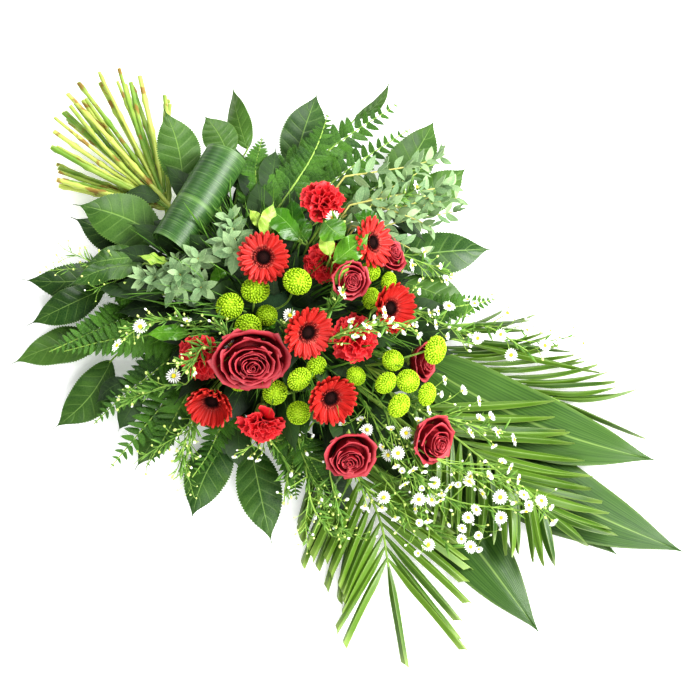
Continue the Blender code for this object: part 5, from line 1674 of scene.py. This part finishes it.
# Loose asters. Each has a main stem and its heads: where one is, its kind, the heading and pitch
# it faces in degrees, and its size.
haze = [
    dict(spine=[(142, -7, 84), (196, -8, 90), (248, 9, 84), (301, 36, 72)], heads=[
        (235, 40, 93, "h", 44, 36, 1.15), (257, 44, 87, "o", 38, 21, 0.85), (212, 38, 95, "o", 39, 21, 0.8),
        (218, 21, 95, "h", 25, 29, 0.8), (219, -2, 96, "o", 44, 23, 0.9), (270, 26, 87, "h", 87, 48, 1.1),
        (278, 36, 85, "h", 54, 39, 1.1), (272, 7, 87, "o", 59, 28, 0.9), (295, 27, 82, "o", 54, 27, 0.95),
        (315, 32, 80, "o", 44, 23, 1), (300, 12, 82, "h", -27, 13, 0.8), (217, -20, 96, "h", 113, 51, 0.9),
    ]),
    dict(spine=[(158, -21, 82), (230, -44, 86), (287, -31, 80), (351, -5, 68), (393, -9, 60)], heads=[
        (214, -39, 93, "o", -34, 63, 0.95), (230, -41, 94, "o", -44, 0, 0.9),
        (221, -64, 94, "o", -34, 63, 1.05), (227, -77, 94, "h", -36, 12, 0.9),
        (253, -58, 90, "w", 50, 22, 1.2), (246, -70, 93, "o", -25, 2, 0.9), (256, -64, 90, "w", 31, 16, 1.2),
        (320, 1, 81, "h", 100, 49, 1), (331, 2, 78, "o", 7, 10, 0.95), (317, -22, 83, "h", 54, 39, 1.1),
        (302, -35, 86, "h", -160, 39, 1.1), (346, -2, 76, "o", 21, 15, 0.85),
        (324, -42, 82, "o", -109, 9, 0.95), (342, -33, 80, "o", -34, 63, 1.15),
        (361, -13, 74, "o", 91, 36, 1),
        (374, -26, 71, "o", -44, 0, 1), (358, -26, 72, "w", -119, 9, 1.3), (404, -17, 68, "h", -18, 15, 1.1),
        (384, -13, 68, "g", 3, 6, 1), (395, -18, 66, "g", -6, 3, 1), (375, -6, 70, "g", 70, 29, 1),
        (303, -12, 82, "w", 70, 29, 1.1),
    ]),
    dict(spine=[(152, -33, 78), (205, -61, 82), (255, -68, 74), (298, -64, 62)], heads=[
        (197, -45, 88, "h", 127, 51, 0.95), (175, -61, 87, "o", -34, 63, 0.95),
        (202, -67, 89, "h", -114, 23, 0.9), (247, -86, 82, "o", -25, 2, 0.8),
        (272, -63, 76, "o", -34, 63, 0.95), (288, -55, 71, "o", -7, 6, 1.05), (285, -67, 73, "h", -53, 11, 1),
        (289, -75, 71, "o", -25, 2, 0.8), (273, -101, 77, "o", -132, 16, 0.8),
        (291, -101, 71, "h", -44, 11, 1), (286, -107, 72, "w", -53, -3, 1.2),
        (311, -90, 67, "w", -25, -1, 1.2), (149, -72, 86, "h", 166, 48, 0.9),
        (162, -56, 86, "h", 140, 51, 0.9),
    ]),
    dict(spine=[(185, -103, 60), (210, -110, 58), (238, -106, 54), (266, -112, 46)], heads=[
        (257, -117, 54, "h", -36, 12, 1), (239, -118, 60, "h", -44, 11, 1.1),
        (223, -129, 63, "h", -62, 11, 1),
        (225, -118, 60, "g", -53, -3, 1), (257, -99, 54, "g", -34, -2, 1), (292, -103, 50, "w", -44, -3, 1),
    ]),
    dict(spine=[(85, 70, 86), (123, 83, 92), (164, 95, 86), (202, 112, 72)], heads=[
        (156, 102, 95, "o", 35, 20, 0.8), (150, 94, 96, "o", 49, 25, 0.7), (164, 87, 95, "o", 39, 21, 0.8),
        (181, 84, 90, "h", 25, 29, 0.85), (186, 100, 85, "w", 60, 26, 1.1), (198, 103, 81, "w", 31, 16, 1.1),
        (117, 117, 97, "w", 92, 34, 1.2), (124, 106, 99, "h", 25, 29, 0.8), (146, 69, 98, "h", 87, 48, 0.9),
        (209, 89, 78, "w", 13, 9, 1),
    ]),
    dict(spine=[(26, 129, 96), (69, 130, 100), (103, 139, 96), (134, 152, 84)], heads=[
        (101, 149, 103, "o", 44, 23, 0.8), (124, 148, 96, "h", 25, 29, 0.8), (100, 127, 104, "o", 35, 20, 1),
        (140, 140, 91, "o", 49, 25, 0.9), (88, 103, 104, "w", 127, 37, 1.2), (141, 151, 89, "g", 60, 26, 1),
        (128, 129, 94, "g", -6, 3, 1),
    ]),
    dict(spine=[(78, -25, 112), (92, -13, 154), (113, 12, 165), (140, 44, 154), (165, 52, 140)], heads=[
        (123, 41, 165, "o", 39, 21, 1), (132, 39, 163, "h", -1, 20, 0.9), (101, 9, 169, "h", 166, 48, 0.9),
        (113, -1, 169, "h", -53, 11, 0.9), (118, 14, 172, "o", 91, 36, 0.9),
        (140, 37, 162, "h", -27, 13, 0.8),
        (149, 39, 154, "w", -25, -1, 1.3), (118, 27, 166, "w", 115, 36, 1.2),
        (165, 48, 147, "h", -1, 20, 0.9),
        (132, 17, 166, "w", -34, -2, 1.2), (122, 3, 171, "w", -44, -3, 1.1), (151, 49, 151, "g", 31, 16, 1),
        (106, -17, 161, "g", -82, -1, 1),
    ]),
    dict(spine=[(101, -98, 62), (122, -118, 60), (153, -136, 52), (185, -152, 38)], heads=[
        (116, -102, 67, "h", 113, 51, 0.8), (126, -101, 65, "w", 92, 34, 1.2),
        (130, -118, 62, "w", -25, -1, 1.3), (174, -148, 46, "w", -25, -1, 1.3),
        (166, -142, 50, "g", 92, 34, 1.2), (181, -167, 42, "w", -53, -3, 1.2),
        (196, -154, 42, "g", -44, -3, 1.2), (205, -171, 42, "g", -44, -3, 1.1),
    ]),
    dict(spine=[(77, -128, 62), (99, -134, 60), (122, -142, 52), (135, -166, 40)], heads=[
        (69, -172, 68, "h", -53, 11, 0.7), (84, -162, 67, "h", -53, 11, 0.7),
        (92, -159, 66, "h", -36, 12, 0.7), (130, -145, 54, "w", -63, -3, 1.5),
        (146, -167, 44, "g", -34, -2, 1.1), (89, -132, 65, "g", -25, -1, 1),
        (143, -178, 44, "g", -63, -3, 1.1),
    ]),
    dict(spine=[(168, -122, 58), (183, -135, 54), (201, -148, 44), (218, -163, 30)], heads=[
        (191, -137, 55, "w", 92, 34, 1.2), (199, -135, 53, "w", 50, 22, 1.2),
        (221, -165, 34, "g", -44, -3, 1.2), (224, -178, 34, "g", -53, -3, 1.2),
        (208, -164, 40, "g", -63, -3, 1.1), (213, -150, 42, "g", 31, 16, 1),
    ]),
    dict(spine=[(-2, -145, 70), (6, -171, 66), (13, -196, 58), (24, -215, 46)], heads=[
        (21, -185, 63, "g", -25, -1, 1.2), (-6, -188, 65, "g", -119, 9, 1.2),
        (10, -205, 57, "g", -128, 12, 1.1), (32, -198, 55, "g", -15, 1, 1.2),
        (36, -218, 49, "g", -25, -1, 1.3), (23, -231, 49, "g", -82, -1, 1.2),
        (12, -217, 53, "g", -119, 9, 1.1),
    ]),
    dict(spine=[(-34, -80, 98), (-69, -87, 102), (-98, -104, 98), (-119, -134, 88)], heads=[
        (-65, -86, 108, "h", 113, 51, 1), (-109, -102, 101, "g", 139, 36, 1.1),
        (-83, -85, 105, "g", 92, 34, 1.2), (-84, -94, 104, "g", -25, -1, 1.1),
        (-118, -112, 97, "g", 162, 34, 1), (-123, -130, 92, "g", -147, 19, 1),
        (-124, -138, 92, "g", -128, 12, 1), (-114, -143, 92, "g", -82, -1, 1),
        (-102, -132, 95, "g", -53, -3, 1), (-99, -113, 100, "g", -25, -1, 1),
        (-107, -121, 99, "o", -34, 63, 1.1), (-116, -154, 94, "o", 3, 9, 1.1),
    ]),
    dict(spine=[(-25, -141, 84), (-42, -157, 84), (-55, -174, 80), (-72, -195, 72)], heads=[
        (-77, -182, 78, "w", -156, 22, 1.1), (-78, -201, 76, "g", -128, 12, 1.1),
        (-61, -196, 78, "g", -53, -3, 1.1), (-59, -178, 82, "g", 115, 36, 1.1),
        (-70, -158, 85, "g", 151, 35, 1.2), (-71, -211, 76, "g", -82, -1, 1),
        (-41, -143, 90, "o", -34, 63, 1.15),
    ]),
    dict(spine=[(-14, -99, 118), (-26, -102, 124), (-24, -118, 130), (-24, -133, 130)], heads=[
        (-20, -140, 132, "g", -63, -3, 1.4), (-16, -132, 132, "g", -25, -1, 1.3),
        (-35, -138, 132, "g", -128, 12, 1.2), (-31, -120, 132, "g", 92, 34, 1.2),
        (-40, -138, 132, "g", -147, 19, 1.1), (-35, -130, 132, "g", 162, 34, 1.1),
    ]),
    dict(spine=[(16, -80, 92), (10, -88, 132), (-15, -75, 124), (-38, -69, 114)], heads=[
        (-53, -72, 118, "g", 139, 36, 1.1), (-40, -68, 118, "g", 162, 34, 1.1),
        (-26, -60, 122, "g", 92, 34, 1.1), (-21, -79, 125, "g", -82, -1, 1), (-13, -79, 129, "g", -25, -1, 1),
        (-24, -104, 125, "g", -119, 9, 1.1), (1, -85, 135, "o", -34, 63, 1.2),
    ]),
    dict(spine=[(37, -43, 92), (40, -35, 126), (36, -24, 134)], heads=[
        (33, -18, 139, "o", -34, 63, 1.05), (32, -28, 136, "g", -166, 26, 1.1),
        (45, -22, 137, "g", 13, 9, 1.1),
    ]),
    dict(spine=[(62, 12, 120), (68, 23, 150), (69, 30, 156)], heads=[
        (69, 33, 161, "o", 59, 28, 1.05), (64, 24, 154, "g", -166, 26, 1.1),
    ]),
    dict(spine=[(20, 105, 108), (15, 101, 138), (5, 104, 142)], heads=[
        (2, 105, 147, "o", -34, 63, 1.1), (14, 110, 143, "g", 60, 26, 1.2), (3, 94, 145, "g", -119, 9, 1.1),
    ]),
    dict(spine=[(19, 165, 84), (35, 184, 100), (44, 208, 98)], heads=[
        (45, 211, 103, "o", 44, 23, 1.1), (37, 197, 102, "g", 92, 34, 1.1), (58, 208, 101, "g", 13, 9, 1.1),
        (39, 178, 101, "g", -25, -1, 1.1),
    ]),
]


# Heads, with buds beside them, on fine stalks that leave the nearest stretch of a main stem.
def headsOn(line, heads, draw):
    routes = []
    pieces = []
    for x, y, z, kind, heading, pitch, size in heads:
        end = point((x, y, z))
        level = math.cos(math.radians(pitch))
        turn = math.radians(heading)
        facing = Vector((level * math.cos(turn), level * math.sin(turn), math.sin(math.radians(pitch))))
        shares = [k / 30 for k in range(31)]
        nearest = min(shares, key=lambda share: (growLine(line, share)[0] - end).length)
        start, forward = growLine(line, max(0.02, nearest - 0.22))
        neck = end - facing * 2 * mm
        bend = start.lerp(neck, 0.6) + (forward * 3 - up * 2) * mm
        route = smoothRoute([start, bend, neck], 3)
        routes.append(dict(points=route, radius=0.62, taper=0.7))
        pieces.append(
            copyOf(kinds[kind], facingSeat(end / mm, facing, draw.uniform(0, 360)) @ Matrix.Scale(size, 4))
        )
        for _ in range(2 if kind in "oh" else 1):
            fork, way = growLine(route, draw.uniform(0.35, 0.8))
            side = Vector([draw.uniform(-1, 1) for _ in range(3)])
            tip = fork + (way * 1.2 + side + up * 0.3).normalized() * draw.uniform(7, 15) * mm
            routes.append(dict(points=[fork, tip], radius=0.4))
            bud = draw.choice((greenBud, greenBud, whiteBud))
            budSize = Matrix.Scale(draw.uniform(0.6, 1.0), 4)
            pieces.append(copyOf(bud, facingSeat(tip / mm, tip - fork) @ budSize))
        for k in range(3):
            fork, way = growLine(route, 0.15 + 0.3 * k)
            side = Vector([draw.uniform(-1, 1) for _ in range(3)])
            place = along(fork, way * 0.8 + side, up, draw.uniform(8, 16) * mm)
            pieces.append(copyOf(hazeLeaf, place, draw.uniform(-0.6, 0.6)))
    return routes, pieces


for number, spec in enumerate(haze, 1):
    draw = random.Random(350 + number)
    spine = [point(place) for place in spec["spine"]]
    entry = point(rootOf(spec["spine"][0]))
    line = smoothRoute(spine)
    routes, pieces = headsOn(line, spec["heads"], draw)
    stem = stalks([rooted(entry, line, 1.1, 0.6)] + routes, "stalk")
    pieces += leavesOn(line, 26, draw)
    settle(joined([stem] + pieces), f"asterFill{number}", "aster", smooth=50)
print("loose asters made")


# Leaves that come out of the foam's sides all round, and short ones that lie over its top, painted near black
# and tinted mostly darker as the shade deep in the spray.
fill = dict(sides=84, tops=110, reach=(58, 92), half=(12, 19), topReach=(38, 62), topHalf=(12, 17))


# A filler leaf in the painted-shade finish.
def fillLeaf(base, direction, length, half, draw, arch=6):
    tip = base + direction * length
    return lay(
        paintedShadeLeaf, base * mm, tip * mm, half, arch=arch, roll=draw.uniform(-30, 30),
        twist=draw.uniform(-25, 25),
        wave=draw.uniform(0.5, 2), phase=draw.random(), tint=draw.uniform(-1.0, 0.6), bow=draw.uniform(-4, 4),
    )


def fillLeaves():
    draw = random.Random(410)
    leaves = []
    routes = []
    for index in range(fill["sides"]):
        angle = index * goldenAngle
        away = ringWay(angle)
        scale = min(115 / max(1e-6, abs(away.x)), 55 / max(1e-6, abs(away.y)))
        foot = away * scale + up * draw.uniform(34, 74)
        rise = up * draw.uniform(-0.05, 0.28)
        direction = (away + rise + Vector((0, draw.uniform(-0.3, 0.3), 0))).normalized()
        base = foot + direction * draw.uniform(8, 26)
        length = draw.uniform(*fill["reach"])
        leaves.append(fillLeaf(base, direction, length, draw.uniform(*fill["half"]), draw))
        routes.append(dict(points=[(foot - direction * 20) * mm, (base + direction * 3) * mm], radius=1.3))
    for index in range(fill["tops"]):
        share = (index + 0.5) / fill["tops"]
        angle = index * goldenAngle
        foot = Vector((100 * math.sqrt(share) * math.cos(angle), 46 * math.sqrt(share) * math.sin(angle), 83))
        away = Vector((foot.x * 0.5, foot.y * 1.6, 0)).normalized()
        direction = (away + up * draw.uniform(0.1, 0.7)).normalized()
        base = foot + direction * 4
        length = draw.uniform(*fill["topReach"])
        leaves.append(fillLeaf(base, direction, length, draw.uniform(*fill["topHalf"]), draw, arch=8))
        routes.append(dict(points=[(foot - up * 14) * mm, (base + direction * 3) * mm], radius=1.2))
    settle(
        joined([weldAndThicken(leaves, broad["sheet"]), stalks(routes, "stalk")]), "coverLeaves",
        "broad_leaf",
    )


fillLeaves()
patches = [
    (34, 178, 70, 86, 174, 64),
    (33, 156, 72, 80, 156, 66),
    (108, -100, 56, 154, -131, 40),
    (87, -107, 56, 126, -148, 36),
    (131, -96, 52, 183, -128, 34),
    (-112, 91, 70, -153, 147, 62),
    (-133, 94, 66, -174, 141, 58),
    (-98, 108, 70, -132, 166, 62),
    (-71, -175, 44, -68, -222, 26),
    (-93, -169, 46, -109, -212, 30),
    (-203, 30, 56, -247, 7, 50),
    (161, -114, 40, 214, -142, 22),
    (36, -129, 40, 77, -173, 16),
    (28, -132, 42, 52, -174, 20),
]


# Leaves painted near black as shade, that close the last gaps under the blooms.
def patchLeaves():
    draw = random.Random(420)
    leaves = []
    routes = []
    for x, y, z, tipX, tipY, tipZ in patches:
        base = Vector((x, y, z))
        entry = rootOf((x, y, z))
        way = Vector((tipX, tipY, tipZ)) - base
        leaves.append(fillLeaf(base, way.normalized(), way.length, 0.26 * way.length, draw))
        inLeaf = (base + way.normalized() * 3) * mm
        routes.append(dict(points=[planted(base * mm, entry * mm), entry * mm, inLeaf], radius=1.3))
    settle(
        joined([weldAndThicken(leaves, broad["sheet"]), stalks(routes, "stalk")]), "patchLeaves",
        "broad_leaf",
    )


patchLeaves()
bladeSettings = dict(count=1100, length=(40, 95), half=(1.0, 2.0))


# Fine dark blades that spread from the foam's edges and between the blooms.
def fineBlades():
    draw = random.Random(430)
    pieces = []
    for index in range(bladeSettings["count"]):
        angle = index * goldenAngle
        away = ringWay(angle)
        scale = min(112 / max(1e-6, abs(away.x)), 52 / max(1e-6, abs(away.y))) * draw.uniform(0.25, 1.0)
        foot = away * scale + up * (draw.uniform(50, 82) if index % 2 else 82)
        rise = up * draw.uniform(-0.1, 0.9)
        direction = (away + rise + Vector((draw.uniform(-0.6, 0.6), draw.uniform(-0.6, 0.6), 0))).normalized()
        length = draw.uniform(*bladeSettings["length"])
        width = draw.uniform(*bladeSettings["half"])
        place = along(foot * mm, direction, up, roll=draw.uniform(-60, 60))
        blade = copyOf(fineBlade, tint=draw.uniform(-1, 1))
        x, y, z = pointsOf(blade).T
        bend = draw.uniform(-0.25, 0.05) * length * y * y
        sway = draw.uniform(-0.15, 0.15) * length * y * y
        setPoints(blade, np.stack([x * width + sway, y * length, z * width + bend], axis=1) * mm)
        blade.data.transform(place)
        pieces.append(blade)
    settle(joined(pieces), "fineBlades", "fern_leaf", smooth=60)


fineBlades()
print("cover leaves made")


# The foam, painted near black as the shade under the foliage wherever it shows through.
def foamLook():
    look = Look("wet foam in painted shade")
    pores = look.node("TexVoronoi", None, {"Vector": look.place(), "Scale": 900.0})
    grain = look.noise(90.0, detail=6.0)
    look.bump(pores * 0.8 + grain * 0.4, 0.4, 0.8)
    return look.paint(
        look.mix((grain + pores * 0.5).rise(0.2, 1.0), (0.006, 0.030, 0.010), (0.022, 0.070, 0.022)), 0.85,
    )


def trayLook():
    look = Look("dark green tray", {"Specular IOR Level": 0.5})
    grain = look.noise(40.0, detail=4.0)
    look.bump(look.noise(700.0), 0.06, 0.5)
    return look.paint(look.mix(grain, (0.008, 0.045, 0.022), (0.016, 0.075, 0.038)), 0.32 + grain * 0.15)


for name, made in (("foam", foamLook()), ("tray", trayLook())):
    frame["nodes"][name].data.materials.clear()
    frame["nodes"][name].data.materials.append(made)

for piece in list(bench.objects):
    bpy.data.objects.remove(piece)
bpy.data.collections.remove(bench)

studio = dict(
    floor=6.0, floorColour=(0.96, 0.96, 0.96), floorGlow=0.30, world=0.32,
    lights=(
        dict(name="windowLight", place=(2.1, 0.1, 1.9), size=1.7, power=156),
        dict(name="sideLight", place=(-0.5, 2.3, 1.9), size=1.4, power=45),
        dict(name="frontLight", place=(0.4, -2.2, 2.0), size=2.0, power=72),
    ),
)
bpy.ops.object.select_all(action="DESELECT")
bpy.ops.mesh.primitive_plane_add(size=studio["floor"], location=(0, 0, -0.0003))
floor = bpy.context.object
floor.name = "floor"
floorLook = Look("pale floor", {"Emission Color": (1, 1, 1, 1), "Emission Strength": studio["floorGlow"]})
floor.data.materials.append(floorLook.paint(studio["floorColour"], 0.9))

world = bpy.data.worlds.new("studio")
bpy.context.scene.world = world
bpy.context.scene.view_settings.view_transform = "Standard"
bpy.context.scene.view_settings.look = "Medium High Contrast"
world.use_nodes = True
world.node_tree.nodes["Background"].inputs["Color"].default_value = (1, 1, 1, 1)
world.node_tree.nodes["Background"].inputs["Strength"].default_value = studio["world"]

# The camera looks down at 70 degrees, with the frame turned so that X runs to the lower right.
view = dict(elevation=70, distance=2.5, target=(0.0825, 0.030, 0), frameWidth=0.84)
lift = math.radians(view["elevation"])
back = Vector((0.6 * math.cos(lift), -0.8 * math.cos(lift), math.sin(lift)))
right = Vector((0.8, 0.6, 0))
target = Vector(view["target"])


def aimed(place, aim, sideways=None):
    axis = (place - aim).normalized()
    x = sideways or Vector((axis.y, -axis.x, 0)).normalized()
    y = axis.cross(x)
    turn = Matrix((x, y, axis)).transposed().to_4x4()
    return Matrix.Translation(place) @ turn


for lamp in studio["lights"]:
    data = bpy.data.lights.new(lamp["name"], "AREA")
    data.energy = lamp["power"]
    data.size = lamp["size"]
    holder = bpy.data.objects.new(lamp["name"], data)
    bpy.context.scene.collection.objects.link(holder)
    across, upwards, height = lamp["place"]
    holder.matrix_world = aimed(
        target + right * across + Vector((-0.6, 0.8, 0)) * upwards + up * height, target,
    )

lens = bpy.data.cameras.new("camera")
lens.sensor_width = 36
lens.lens = 36 * view["distance"] / view["frameWidth"]
lens.clip_end = 20
camera = bpy.data.objects.new("camera", lens)
bpy.context.scene.collection.objects.link(camera)
camera.matrix_world = aimed(target + back * view["distance"], target, right)
bpy.context.scene.camera = camera

bpy.context.view_layer.update()
